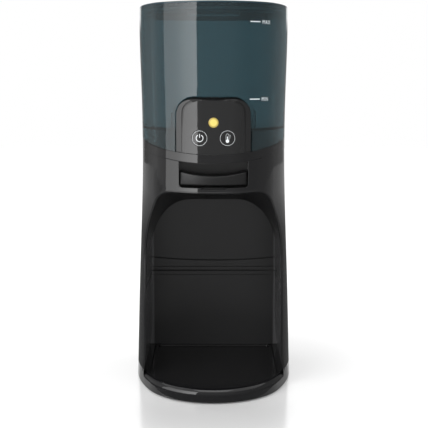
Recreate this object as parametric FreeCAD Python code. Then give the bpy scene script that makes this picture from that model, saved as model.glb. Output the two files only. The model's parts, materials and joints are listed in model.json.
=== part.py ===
"""Formula water warmer: a tall oval tower with a lift-off water tank over a heated head,
a push-down dispensing lever, an open bottle bay and a lift-out drip tray.

Millimetres. The origin is the middle of the footprint on the table, +Z is up,
the front of the object looks along -Y and +X is to its right as seen from the front."""
import FreeCAD, Part
import math
import os

V = FreeCAD.Vector

# Overall form: one plan outline, scaled to a half width at each height
total_height = 340.0
shoulder_height = 270.0
waist_height = 207.0
middle_height = 140.0
lower_height = 70.0
base_half_width = 72.0
lower_taper = 2.1
middle_taper = 4.65
waist_taper = 6.4
shoulder_taper = 5.65
top_taper = 4.7
front_depth = 110.0
back_depth = 70.0
nose_side_room = 10.0
back_radius = 260.0
back_arc_side_room = 15.0
back_corner_radius = 16.0

# Walls and clearances
body_wall = 2.6
tank_wall = 2.6
liner_wall = 2.0
joint_gap = 0.1
lift_gap = 0.3
skirt_gap = 0.5
running_gap = 0.05
press_gap = 0.02
button_gap = 0.2
screw_tip_gap = 0.4

# Working lengths: joined pieces run this far into one another, cutters this far past a face
overlap = 0.5
past = 1.0
near_enough = 0.01

# Band between tank and body, curved like a smile in the front view
seam_low = 212.6
seam_radius = 235.0
band_height = 7.6

# Bottle bay
bay_side_depth = 11.2
bay_top = 180.0
bay_spring = 116.0
bay_side_radius = 140.0
bay_corner = 16.0
bay_back_room = 24.0
back_arch_top = 158.2
back_arch_spring = 112.0
back_arch_side_radius = 51.8
back_arch_corner = 33.0
foot_flare = 2.5
foot_flare_height = 30.0
liner_seam = 87.0
bead_low = 91.3
bead_high = 97.2
bead_sag = 3.2
bead_depth = 0.9
rear_split_past_bay = 4.0

# Base, rim and drip tray
foot_stand = 1.2
rim_top = 12.5
rim_round = 5.0
deck_thickness = 2.0
boss_radius = 3.5
boss_blind = 0.8
tray_drop = 0.4
tray_thickness = 3.0
tray_dish_depth = 1.2
tray_dish_inset = 3.0
tray_side_gap = 3.3
tray_front_inset = 15.5
tray_front_spread = 8.5
tray_front_corner = 24.0
tray_rear_corner = 6.0
tray_gap = 0.4
base_plate_thickness = 2.0
base_screw_skin = 1.0
foot_round = 0.6
tray_round = 0.5

# Control panel, tower and buttons
plate_half_width = 26.3
plate_top = 257.8
plate_corner = 10.0
flank_width = 5.3
flank_rise = 3.1
flank_side_lean = 1.4
flank_top_lean = 0.82
flank_top_start = 1.0
flank_far_corner = 16.5
bezel_lead = 2.0
bezel_depth = 16.0
tower_depth = 21.0
tower_wall = 2.0
pocket_gap = 0.9
button_radius = 6.4
button_spread = 11.7
button_height = 226.8
button_travel = 0.5
button_flange = 1.4
button_stem_radius = 2.0
button_sink = 0.25
button_stem_showing = 0.7
switch_width = 6.0
switch_body = 3.4
switch_tip = 0.8
switch_tip_radius = 1.7
control_board_depth = 12.5
control_board_half_width = 24.0
control_board_below = 9.0
control_board_above = 14.0
control_screw_bite = 4.0
tower_post_half_span = 20.0
tower_post_below = 5.5
tower_post_above = 10.0
lens_radius = 4.2
lens_flange = 1.2
lens_depth = 5.2
lens_height = 239.8
led_radius = 2.5
led_length = 5.0
led_rim = 0.4
led_rim_height = 1.0

# Lever and its recess
recess_half_width = 29.4
recess_floor = 184.7
recess_corner = 3.0
recess_depth = 24.0
recess_wall = 1.6
recess_floor_wall = 2.3
notch_half_width = 11.0
notch_narrowing = 3.0
notch_depth = 3.0
lever_side_gap = 1.0
lever_bottom = 187.3
lever_top = 194.4
lever_dish_rise = 3.5
lever_setback = 0.9
lever_corner = 2.5
pivot_height = 191.0
pivot_to_nozzle = 41.0
lever_pin_radius = 2.0
lever_hub_radius = 5.2
arm_half_width = 8.0
arm_thickness = 4.4
arm_rise_length = 16.0
arm_taper_step = 2.0
fork_slot_start = 3.0
pin_showing = 0.5
fork_slot_half_width = 4.0
ear_thickness = 2.8

# Dispensing valve and nozzle
nozzle_to_vessel = 40.0
nozzle_tip = 171.0
nozzle_radius = 6.0
nozzle_tip_radius = 4.6
nozzle_bore = 3.2
nozzle_straight = 1.0
valve_radius = 8.0
valve_top = 199.0
valve_bore = 6.3
valve_seat = 187.5
seat_radius = 4.0
valve_cap_height = 3.0
valve_cap_overhang = 0.5
valve_foot_overhang = 2.0
valve_foot_height = 1.6
stem_radius = 2.0
collar_radius = 8.0
collar_thickness = 2.0
valve_seal_thickness = 2.0
collar_clearance = 0.2
fork_thickness = 3.2
fork_drop = 0.6
fork_pad_half_length = 1.5
fork_overrun = 5.0
stem_end = 2.0
retainer_thickness = 1.5
retainer_radius = 5.0
valve_seal_radius = 5.6
spring_radius = 4.6
spring_thickness = 0.9
spigot_length = 3.3
spigot_radius = 3.6
spigot_bore = 2.6
spigot_gap = 0.4
hose_wall = 1.4
outlet_height = 193.0

# Heater vessel under the tank seat
vessel_back_room = 44.0
vessel_radius = 25.0
vessel_wall = 0.8
vessel_bottom = 189.0
flange_radius = 31.0
flange_thickness = 1.0
flange_screw_ring = 28.6
flange_screw_size = 1.1
flange_screw_head = 2.3
flange_screw_bite = 0.8
flange_boss_radius = 2.0
gasket_thickness = 1.5
gasket_width = 2.5
heater_plate_radius = 22.0
heater_plate_thickness = 1.6
element_ring_radius = 16.0
element_tube_radius = 3.2
element_end_radius = 2.2
element_braze = 0.3
element_gap_turn = 30.0
cutout_radius = 7.5
cutout_height = 7.0
cutout_tab_spread = 4.0
cutout_tab_width = 3.0
cutout_tab_thickness = 0.8
terminal_length = 5.0
sensor_radius = 2.2
sensor_height = 203.0
sensor_length = 12.0
sensor_collar = 4.0

# Tank seat, tank outlet and lid
plinth_top = 232.0
plinth_wall = 2.2
well_radius = 14.5
well_depth = 13.0
well_wall = 2.0
well_drain_radius = 3.0
actuator_radius = 2.5
tank_floor = 2.6
outlet_tube_radius = 8.0
outlet_tube_drop = 10.0
outlet_bore = 6.5
outlet_seat_radius = 4.5
outlet_seat_thickness = 2.0
outlet_flange_radius = 12.0
outlet_flange_thickness = 2.0
outlet_seal_height = 3.0
poppet_radius = 5.8
poppet_travel = 3.0
poppet_stem_radius = 1.8
poppet_thickness = 2.0
poppet_seal_thickness = 1.0
cage_height = 11.0
cage_top = 2.0
cage_window = 5.0
lid_thickness = 1.8
lid_plug_depth = 7.0
lid_plug_wall = 2.0
lid_plug_gap = 0.9
lid_seal_height = 2.0
lid_seal_drop = 3.0
lid_edge_round = 0.7
grip_length = 46.0
grip_width = 24.0
grip_depth = 5.0
grip_rib = 6.0

# Electronics, fixings and inlet
board_thickness = 1.6
cover_screw_skin = 1.2
cover_screw_bite = 7.0
power_board_half_width = 30.0
power_board_low = 26.0
power_board_high = 82.0
board_post_length = 3.5
board_post_half_span = 25.0
board_post_inset = 5.0
power_screw_bite = 4.6
transformer_width = 24.0
transformer_height = 20.0
transformer_depth = 9.0
transformer_off_centre = 1.0
transformer_above_board_edge = 22.0
coil_width = 16.0
coil_height = 26.0
coil_depth = 10.0
capacitor_radius = 4.5
capacitor_length = 9.5
capacitor_above_board_edge = 12.0
capacitor_places = (-16.0, -5.0)
relay_place = 13.0
relay_width = 16.0
relay_height = 10.0
relay_depth = 9.0
terminal_half_width = 20.0
terminal_height = 7.5
terminal_depth = 7.0
terminal_edge_gap = 1.5
post_radius = 3.0
screw_radius = 1.5
screw_head_radius = 2.8
screw_head_height = 1.6
foot_radius = 8.0
foot_recess = 0.6
gland_radius = 5.0
gland_bore = 3.0
gland_height = 15.0
gland_collar_radius = 7.5
gland_collar_length = 3.0
gland_tail = 3.0

# Places that follow from the sizes above
lower_half_width = base_half_width - lower_taper
middle_half_width = base_half_width - middle_taper
waist_half_width = base_half_width - waist_taper
shoulder_half_width = base_half_width - shoulder_taper
top_half_width = base_half_width - top_taper
nose_radius = base_half_width - nose_side_room
back_arc_half_width = base_half_width - back_arc_side_room
widest_y = (front_depth - back_depth) / 2
bay_half_width = base_half_width - bay_side_depth
tray_half_width = bay_half_width - tray_side_gap
tray_front_radius = tray_half_width + tray_front_spread
bay_back_y = widest_y + back_depth - bay_back_room
rear_split_y = bay_back_y + rear_split_past_bay
vessel_y = widest_y + back_depth - vessel_back_room
nozzle_y = vessel_y - nozzle_to_vessel
pivot_y = nozzle_y - pivot_to_nozzle
liner_top = bay_top + liner_wall
reach = 4 * total_height
stations = (
    (0.0, base_half_width),
    (lower_height, lower_half_width),
    (middle_height, middle_half_width),
    (waist_height, waist_half_width),
    (shoulder_height, shoulder_half_width),
    (total_height, top_half_width),
)


def box(x0, x1, y0, y1, z0, z1):
    """A box between two corners."""
    return Part.makeBox(x1 - x0, y1 - y0, z1 - z0, V(x0, y0, z0))


def slab(z0, z1):
    """Everything between two heights."""
    return box(-reach, reach, -reach, reach, z0, z1)


def ahead_of(y):
    """Everything in front of the plane at y."""
    return box(-reach, reach, -reach, y, -reach, reach)


def rod_x(radius, x0, x1, y, z):
    return Part.makeCylinder(radius, x1 - x0, V(x0, y, z), V(1, 0, 0))


def rod_y(radius, y0, y1, x, z):
    return Part.makeCylinder(radius, y1 - y0, V(x, y0, z), V(0, 1, 0))


def rod_z(radius, z0, z1, x, y):
    return Part.makeCylinder(radius, z1 - z0, V(x, y, z0), V(0, 0, 1))


def fuse(shapes):
    """One solid from touching shapes, with the seams between them removed."""
    whole = shapes[0]
    for shape in shapes[1:]:
        whole = whole.fuse(shape)
    return whole.removeSplitter()


def arc(centre, radius, start, end, place):
    """Arc about a centre from one angle to another (degrees), mapped into space by place."""
    points = []
    for angle in (start, (start + end) / 2, end):
        turn = math.radians(angle)
        points.append(place(centre[0] + radius * math.cos(turn), centre[1] + radius * math.sin(turn)))
    return Part.Arc(*points).toShape()


def plan_wire(half_width, inset, z):
    """Plan outline at height z: nose arc, long flanks, rounded back, all drawn inwards by inset."""
    scale = half_width / base_half_width
    nose = nose_radius * scale
    nose_y = -(front_depth * scale - nose)
    side = (half_width ** 2 + nose_y ** 2 - nose ** 2) / (2 * (half_width - nose))
    nose_turn = math.degrees(math.atan2(nose_y, side - half_width))
    back = back_radius * scale
    corner = back_corner_radius * scale
    back_turn = math.asin(back_arc_half_width / back_radius)
    across = half_width - (back - corner) * math.sin(back_turn) - corner
    along = back_depth * scale - back + (back - corner) * math.cos(back_turn)
    reach_out = (along ** 2 + across ** 2) / (2 * across)
    flank = corner + reach_out
    flank_turn = 90 - math.degrees(math.asin((reach_out - across) / reach_out))
    corner_x = (back - corner) * math.sin(back_turn)
    corner_y = back_depth * scale - back + (back - corner) * math.cos(back_turn)
    back_start = 90 - math.degrees(back_turn)

    def place(x, y):
        return V(x, widest_y + y, z)

    edges = [
        arc((0, nose_y), nose - inset, -180 - nose_turn, nose_turn, place),
        arc((half_width - side, 0), side - inset, nose_turn, 0, place),
        arc((half_width - flank, 0), flank - inset, 0, flank_turn, place),
        arc((corner_x, corner_y), corner - inset, flank_turn, back_start, place),
        arc((0, back_depth * scale - back), back - inset, back_start, 180 - back_start, place),
        arc((-corner_x, corner_y), corner - inset, 180 - back_start, 180 - flank_turn, place),
        arc((flank - half_width, 0), flank - inset, 180 - flank_turn, 180, place),
        arc((side - half_width, 0), side - inset, 180, 180 - nose_turn, place),
    ]
    return Part.Wire(edges)


forms = {}


def form(inset=0.0):
    """The whole tower as a smooth solid, drawn inwards by inset."""
    key = round(inset, 4)
    if key not in forms:
        wires = [plan_wire(half_width, inset, z) for z, half_width in stations]
        forms[key] = Part.makeLoft(wires, True, False)
    return forms[key].copy()


def above_seam(offset=0.0):
    """Everything above the smile-shaped seam; a positive offset lies higher."""
    centre = seam_low + seam_radius
    return rod_y(seam_radius - offset, -reach, reach, 0, centre)


def arch_wire(y, half_width, spring, side_radius, corner, top, bottom):
    """Bay outline seen from the front: flared foot, upright side, arced side, round corner, flat top."""
    side_x = half_width - side_radius
    centre_z = top - corner
    turn = math.asin((centre_z - spring) / (side_radius - corner))
    centre_x = side_x + (side_radius - corner) * math.cos(turn)
    lean = math.degrees(turn)
    knee_z = bottom + foot_flare_height
    flare_radius = (foot_flare_height ** 2 + foot_flare ** 2) / (2 * foot_flare)
    flare_turn = math.degrees(math.asin(foot_flare_height / flare_radius))
    edges = []
    for side in (1, -1):
        def place(x, z):
            return V(side * x, y, z)
        edges.append(arc((half_width + flare_radius, knee_z), flare_radius, 180 + flare_turn, 180, place))
        edges.append(Part.LineSegment(place(half_width, knee_z), place(half_width, spring)).toShape())
        edges.append(arc((side_x, spring), side_radius, 0, lean, place))
        edges.append(arc((centre_x, centre_z), corner, lean, 90, place))
    edges.append(Part.LineSegment(V(-centre_x, y, top), V(centre_x, y, top)).toShape())
    foot = half_width + foot_flare
    edges.append(Part.LineSegment(V(-foot, y, bottom), V(foot, y, bottom)).toShape())
    return Part.Wire(Part.__sortEdges__(edges))


def bay_space(grow=0.0, bottom=rim_top, front=-reach):
    """The bottle bay, grown by a wall: straight from the front, then lower and rounder to its back."""
    front_arch = arch_wire(widest_y, bay_half_width + grow, bay_spring, bay_side_radius + grow,
                           bay_corner + grow, bay_top + grow, bottom)
    back_arch = arch_wire(bay_back_y + grow, bay_half_width + grow, back_arch_spring,
                          back_arch_side_radius + grow, back_arch_corner + grow, back_arch_top + grow, bottom)
    tunnel = Part.Face(front_arch).extrude(V(0, front - widest_y, 0))
    hood = Part.makeLoft([front_arch, back_arch], True, True)
    return fuse([tunnel, hood])


def tower_wire(y, half_width, top, corner, bottom):
    """Control tower outline seen from the front: upright sides and two round upper corners."""
    def place(x, z):
        return V(x, y, z)
    edges = [
        Part.LineSegment(place(half_width, bottom), place(half_width, top - corner)).toShape(),
        arc((half_width - corner, top - corner), corner, 0, 90, place),
        Part.LineSegment(place(half_width - corner, top), place(corner - half_width, top)).toShape(),
        arc((corner - half_width, top - corner), corner, 90, 180, place),
        Part.LineSegment(place(-half_width, top - corner), place(-half_width, bottom)).toShape(),
        Part.LineSegment(place(-half_width, bottom), place(half_width, bottom)).toShape(),
    ]
    return Part.Wire(edges)


def tower_prism(grow, back_y):
    """The tower outline grown by a distance, from in front of the object back to back_y."""
    wire = tower_wire(-reach, plate_half_width + flank_width + grow, plate_top + flank_rise + grow,
                      plate_corner + flank_width + grow, seam_low - band_height - plate_corner)
    return Part.Face(wire).extrude(V(0, back_y + reach, 0))


def tray_wire(z, inset):
    """Tray outline: arced front, round corners, straight sides and back."""
    front = front_y + tray_front_inset + inset
    radius = tray_front_radius - inset
    side = tray_half_width - inset
    corner = tray_front_corner - inset
    rear = bay_back_y - tray_gap - inset
    rear_corner = tray_rear_corner - inset
    centre_y = front + radius
    corner_x = side - corner
    corner_y = centre_y - math.sqrt((radius - corner) ** 2 - corner_x ** 2)
    turn = math.degrees(math.atan2(corner_y - centre_y, corner_x))

    def place(x, y):
        return V(x, y, z)

    edges = [
        arc((0, centre_y), radius, -180 - turn, turn, place),
        arc((corner_x, corner_y), corner, turn, 0, place),
        Part.LineSegment(place(side, corner_y), place(side, rear - rear_corner)).toShape(),
        arc((side - rear_corner, rear - rear_corner), rear_corner, 0, 90, place),
        Part.LineSegment(place(side - rear_corner, rear), place(rear_corner - side, rear)).toShape(),
        arc((rear_corner - side, rear - rear_corner), rear_corner, 90, 180, place),
        Part.LineSegment(place(-side, rear - rear_corner), place(-side, corner_y)).toShape(),
        arc((-corner_x, corner_y), corner, 180, 180 - turn, place),
    ]
    return Part.Wire(edges)


def tray_prism(z0, z1, inset):
    return Part.Face(tray_wire(z0, inset)).extrude(V(0, 0, z1 - z0))


def round_edges(shape, radius, chosen):
    """Round the edges that the chosen test picks."""
    edges = [edge for edge in shape.Edges if chosen(edge)]
    return shape.makeFillet(radius, edges)


def mirrored(points):
    """Each place and its mirror image across the middle plane."""
    return [(side * x, other) for x, other in points for side in (1, -1)]


front_y = widest_y - front_depth
waist_front_y = widest_y - front_depth * waist_half_width / base_half_width
tray_top = rim_top - tray_drop
tray_seat = tray_top - tray_thickness
deck_low = tray_seat - deck_thickness
plate_high = foot_stand + base_plate_thickness
tower_back_y = waist_front_y + tower_depth
recess_back_y = waist_front_y + recess_depth
control_board_y = waist_front_y + control_board_depth
switch_y = control_board_y - switch_body - switch_tip
nose_at_waist = nose_radius * waist_half_width / base_half_width
plate_edge_y = waist_front_y + nose_at_waist - math.sqrt(nose_at_waist ** 2 - plate_half_width ** 2)
arm_high = pivot_height + arm_thickness / 2
arm_low = pivot_height - arm_thickness / 2
deck_high = plinth_top - plinth_wall
well_floor = plinth_top - well_depth
flange_top = deck_high - gasket_thickness
heater_low = vessel_bottom - heater_plate_thickness
floor_top = plinth_top + tank_floor
outlet_low = plinth_top - outlet_tube_drop
poppet_rest = outlet_low + outlet_seat_thickness + poppet_travel + joint_gap
poppet_top = poppet_rest + poppet_seal_thickness + poppet_thickness
cage_high = floor_top + cage_height
lid_low = total_height - lid_thickness
plug_inset = tank_wall + lid_plug_gap
band_inner = tank_wall + skirt_gap + plinth_wall
liner_back_y = bay_back_y + liner_wall
board_front_y = liner_back_y + board_post_length
board_back_y = board_front_y + board_thickness
stem_low = valve_seat + running_gap + valve_seal_thickness
retainer_top = stem_low + retainer_thickness
fork_low = valve_top + valve_cap_height + collar_clearance * 2
fork_top = fork_low + fork_thickness + fork_drop
collar_low = fork_top + collar_clearance
lever_half_width = recess_half_width - lever_side_gap
base_screw_places = mirrored(((50.0, -22.0), (50.0, 44.0)))
foot_places = mirrored(((40.0, -48.0), (46.0, 68.0)))
cover_screw_places = mirrored(((44.0, 40.0), (44.0, 126.0)))
board_post_places = mirrored(((board_post_half_span, power_board_low + board_post_inset),
                              (board_post_half_span, power_board_high - board_post_inset)))
tower_post_places = mirrored(((tower_post_half_span, button_height - tower_post_below),
                              (tower_post_half_span, lens_height + tower_post_above)))
flange_screw_places = [(flange_screw_ring * math.cos(math.radians(turn)),
                        vessel_y + flange_screw_ring * math.sin(math.radians(turn)))
                       for turn in (0, 90, 180, 270)]


def back_y_at(z, inset=0.0):
    """Where the back face lies on the middle plane, taking straight lines between the stations."""
    for (z0, w0), (z1, w1) in zip(stations, stations[1:]):
        if z <= z1:
            break
    half_width = w0 + (w1 - w0) * (z - z0) / (z1 - z0)
    return widest_y + back_depth * half_width / base_half_width - inset


def flat_at(edge, z):
    """Whether an edge lies in the level plane at z."""
    return abs(edge.BoundBox.ZMin - z) < near_enough and abs(edge.BoundBox.ZMax - z) < near_enough


def opening_foot(edge):
    """Whether an edge is one of the two lower ones that run back into the lever opening."""
    return abs(edge.BoundBox.ZMax - recess_floor) < near_enough and edge.BoundBox.YLength > 1


def lever_notch():
    """Notch cut down into the lip under the lever, wider at its foot."""
    wide = notch_half_width
    narrow = notch_half_width - notch_narrowing
    low = recess_floor - recess_floor_wall / 2
    high = recess_floor + past
    corners = [V(-wide, front_y, low), V(wide, front_y, low), V(narrow, front_y, high),
               V(-narrow, front_y, high), V(-wide, front_y, low)]
    return Part.Face(Part.makePolygon(corners)).extrude(V(0, waist_front_y + body_wall + notch_depth - front_y, 0))


def make_outer_shell():
    """Front and side skin with the bay window, the lever opening, the base rim and the tray deck."""
    deck = form().common(slab(deck_low, rim_top)).common(ahead_of(bay_back_y - joint_gap))
    deck = round_edges(deck, rim_round,
                       lambda edge: flat_at(edge, rim_top) and edge.BoundBox.YMin < bay_back_y - 1)
    deck = deck.cut(tray_prism(tray_seat, rim_top + tray_thickness, -tray_gap))
    skin = form().cut(form(body_wall)).common(slab(foot_stand, total_height))
    skin = skin.cut(above_seam(-band_height)).common(ahead_of(rear_split_y)).cut(bay_space())
    foot = bay_half_width + foot_flare
    skin = skin.cut(box(-foot, foot, front_y - past, widest_y, rim_top - rim_round, rim_top + past))
    opening = box(-recess_half_width, recess_half_width, front_y - past, recess_back_y,
                  recess_floor, seam_low + band_height)
    opening = round_edges(opening, recess_corner, opening_foot)
    shell = [skin.cut(opening).cut(lever_notch()), deck]
    shell += [rod_z(boss_radius, plate_high, deck_low + overlap, x, y) for x, y in base_screw_places]
    shell = fuse(shell)
    for x, y in base_screw_places:
        shell = shell.cut(rod_z(screw_radius + press_gap, plate_high - past, tray_seat - boss_blind, x, y))
    return shell


def make_rear_cover():
    """Back skin with recessed screw holes and the cord inlet."""
    cover = form().cut(form(body_wall)).common(slab(foot_stand, total_height))
    cover = cover.cut(above_seam(-band_height)).cut(ahead_of(rear_split_y))
    seat = form(body_wall - cover_screw_skin)
    for x, z in cover_screw_places:
        cover = cover.cut(rod_y(screw_radius + running_gap, rear_split_y, reach, x, z))
        cover = cover.cut(rod_y(screw_head_radius + button_gap, rear_split_y, reach, x, z).cut(seat))
    return cover.cut(rod_y(gland_radius + press_gap, rear_split_y, reach, 0, gland_height))


def make_cover_screws():
    """Four screws through the rear cover into the posts behind the bay."""
    seat = form(body_wall - cover_screw_skin)
    screws = []
    for x, z in cover_screw_places:
        shank = rod_y(screw_radius, back_y_at(z, body_wall) - cover_screw_bite, reach, x, z).common(seat)
        head = rod_y(screw_head_radius, rear_split_y, reach, x, z).cut(seat).common(form(joint_gap))
        screws.append(fuse([shank, head]))
    return Part.makeCompound(screws)


def cover_post(liner, x, z):
    """Adds one hollow post behind the back wall of the bay for a rear cover screw."""
    post = rod_y(boss_radius, bay_back_y + liner_wall / 2, reach, x, z).common(form(body_wall + joint_gap))
    return fuse([liner, post]).cut(rod_y(screw_radius + press_gap, liner_back_y, reach, x, z))


def make_liners():
    """Moulded lining of the bay in two pieces: above the seam with a bead, and below it."""
    skin = bay_space(liner_wall, rim_top).cut(bay_space(0.0, rim_top))
    skin = skin.common(form(body_wall + joint_gap)).common(ahead_of(liner_back_y + joint_gap))
    bead_radius = (bay_half_width ** 2 + bead_sag ** 2) / (2 * bead_sag)
    bead = box(-bay_half_width, bay_half_width, bay_back_y - bead_depth, bay_back_y + liner_wall / 2,
               bead_low, bead_high + bead_sag)
    bead = bead.cut(rod_y(bead_radius, front_y, reach, 0, bead_high + bead_radius))
    upper = fuse([skin.common(slab(liner_seam + joint_gap, total_height)), bead])
    upper = upper.cut(rod_z(nozzle_radius + joint_gap, bay_top - past, liner_top + past, 0, nozzle_y))
    skirt = box(-tray_half_width, tray_half_width, bay_back_y, liner_back_y, deck_low, rim_top + past)
    posts = [rod_y(post_radius, bay_back_y + liner_wall / 2, board_front_y, x, z) for x, z in board_post_places]
    lower = fuse([skin.common(slab(rim_top, liner_seam)), skirt] + posts)
    for x, z in board_post_places:
        lower = lower.cut(rod_y(screw_radius + press_gap, liner_back_y - overlap, board_front_y + past, x, z))
    for x, z in cover_screw_places:
        if z > liner_seam:
            upper = cover_post(upper, x, z)
        else:
            lower = cover_post(lower, x, z)
    return upper, lower


def make_tank_seat():
    """Visible band and the plinth under the tank, with a drained well and the pin that opens the tank valve."""
    band = form().cut(form(band_inner)).cut(above_seam()).common(above_seam(-band_height))
    plinth = form(tank_wall + skirt_gap).common(above_seam(-band_height)).common(slab(0, plinth_top))
    plinth = plinth.cut(form(band_inner).common(slab(0, deck_high)))
    plinth = plinth.cut(tower_prism(0.0, tower_back_y + joint_gap).common(above_seam()))
    well = rod_z(well_radius + well_wall, well_floor - well_wall, deck_high + overlap, 0, vessel_y)
    bosses = [rod_z(flange_boss_radius, flange_top, deck_high + overlap, x, y) for x, y in flange_screw_places]
    seat = fuse([band, plinth, well] + bosses)
    seat = seat.cut(rod_z(well_radius, well_floor, plinth_top + past, 0, vessel_y))
    drain_ring = (well_radius + actuator_radius) / 2
    for turn in (45, 135, 225, 315):
        drain_x = drain_ring * math.cos(math.radians(turn))
        drain_y = vessel_y + drain_ring * math.sin(math.radians(turn))
        seat = seat.cut(rod_z(well_drain_radius, well_floor - well_wall - past, well_floor + past, drain_x, drain_y))
    seat = fuse([seat, rod_z(actuator_radius, well_floor - well_wall / 2, poppet_rest - joint_gap, 0, vessel_y)])
    screw_end = deck_high + flange_screw_bite + screw_tip_gap
    for x, y in flange_screw_places:
        seat = seat.cut(rod_z(flange_screw_size + press_gap, flange_top - past, screw_end, x, y))
    return seat


def make_control_tower():
    """Hollow tower behind the control panel, standing on the band, with posts for the control board."""
    tower = form(body_wall + joint_gap).common(tower_prism(-joint_gap, tower_back_y)).common(above_seam())
    hollow = tower_prism(-joint_gap - tower_wall, tower_back_y - tower_wall)
    posts = [rod_y(post_radius, control_board_y + board_thickness, tower_back_y - tower_wall / 2, x, z)
             for x, z in tower_post_places]
    tower = fuse([tower.cut(hollow)] + posts)
    for x, z in tower_post_places:
        tower = tower.cut(rod_y(screw_radius + press_gap, control_board_y, tower_back_y - tower_wall, x, z))
    return tower


def make_control_bezel():
    """Curved panel plate with a sloping flank, pierced for two buttons and the indicator lens."""
    far_y = waist_front_y + bezel_depth

    def flank_wire(y, corner):
        half_width = plate_half_width + flank_side_lean * (y - plate_edge_y)
        top = plate_top + flank_top_lean * (y - waist_front_y + flank_top_start)
        return tower_wire(y, half_width, top, corner, recess_floor)

    near = flank_wire(waist_front_y - bezel_lead, plate_corner)
    far = flank_wire(far_y, flank_far_corner)
    plate = form().cut(form(body_wall)).common(Part.makeLoft([near, far], True, True))
    plate = plate.common(tower_prism(0.0, far_y)).common(above_seam(joint_gap))
    for x in (-button_spread, button_spread):
        plate = plate.cut(rod_y(button_radius + button_gap, front_y, far_y, x, button_height))
    return plate.cut(rod_y(lens_radius + press_gap, front_y, far_y, 0, lens_height))


def make_button(x):
    """Round button: a cap flush with the panel, a retaining flange behind it and a short stem."""
    flange_y = switch_y - button_travel - joint_gap - button_stem_showing
    cap = rod_y(button_radius, front_y, flange_y, x, button_height).common(form(button_sink))
    flange = rod_y(button_radius + button_flange, front_y, flange_y, x, button_height)
    flange = flange.common(form(body_wall + joint_gap))
    stem = rod_y(button_stem_radius, flange_y - overlap, switch_y - button_travel - running_gap, x, button_height)
    return fuse([cap, flange, stem])


def make_lens():
    """Indicator lens set in the panel from behind."""
    window = rod_y(lens_radius, front_y, waist_front_y + lens_depth, 0, lens_height).common(form(button_sink / 2))
    flange = rod_y(lens_radius + lens_flange, front_y, waist_front_y + lens_depth, 0, lens_height)
    return fuse([window, flange.common(form(body_wall + press_gap))])


def make_control_board():
    half = control_board_half_width
    board = box(-half, half, control_board_y, control_board_y + board_thickness,
                button_height - control_board_below, lens_height + control_board_above)
    for x, z in tower_post_places:
        board = board.cut(rod_y(screw_radius + press_gap, front_y, 0, x, z))
    return board


def make_button_switches():
    switches = []
    for x in (-button_spread, button_spread):
        half = switch_width / 2
        body = box(x - half, x + half, control_board_y - switch_body, control_board_y,
                   button_height - half, button_height + half)
        tip = rod_y(switch_tip_radius, switch_y, control_board_y - switch_body, x, button_height)
        switches.append(fuse([body, tip]))
    return Part.makeCompound(switches)


def make_led():
    body = rod_y(led_radius, control_board_y - led_length, control_board_y, 0, lens_height)
    rim = rod_y(led_radius + led_rim, control_board_y - led_rim_height, control_board_y, 0, lens_height)
    return fuse([body, rim])


def board_screws(places, seat_y, towards, bite):
    """Pan head screws standing on a board; towards is the side that the heads face."""
    screws = []
    for x, z in places:
        y0, y1 = sorted((seat_y, seat_y + towards * screw_head_height))
        s0, s1 = sorted((seat_y, seat_y - towards * bite))
        screws.append(fuse([rod_y(screw_head_radius, y0, y1, x, z), rod_y(screw_radius, s0, s1, x, z)]))
    return Part.makeCompound(screws)


def make_lever_housing():
    """Pocket behind the lever opening: floor with a notch, sides, back with an arm slot, and pin ears."""
    outside = box(-recess_half_width - recess_wall, recess_half_width + recess_wall, front_y,
                  recess_back_y + recess_wall, recess_floor - recess_floor_wall, seam_low + band_height)
    inside = box(-recess_half_width, recess_half_width, front_y, recess_back_y,
                 recess_floor, seam_low + band_height)
    inside = round_edges(inside, recess_corner, opening_foot)
    roof = above_seam(-band_height)
    pocket = outside.cut(inside.cut(roof)).cut(above_seam(recess_wall - band_height))
    pocket = pocket.common(form(body_wall + joint_gap))
    pocket = pocket.cut(roof.cut(form(band_inner + joint_gap)))
    pocket = pocket.cut(lever_notch())
    slot = arm_half_width + lever_side_gap / 2
    pocket = pocket.cut(box(-slot, slot, recess_back_y - past, recess_back_y + recess_wall + past,
                            lever_bottom - lever_side_gap, arm_high + lift_gap))
    ears = []
    for side in (-1, 1):
        x0, x1 = sorted((side * slot, side * (slot + ear_thickness)))
        ears.append(box(x0, x1, recess_back_y + recess_wall / 2, pivot_y + lever_hub_radius,
                        recess_floor - recess_floor_wall, pivot_height + lever_hub_radius))
    housing = fuse([pocket] + ears)
    ear_reach = slot + ear_thickness + past
    return housing.cut(rod_x(lever_pin_radius + press_gap, -ear_reach, ear_reach, pivot_y, pivot_height))


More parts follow.
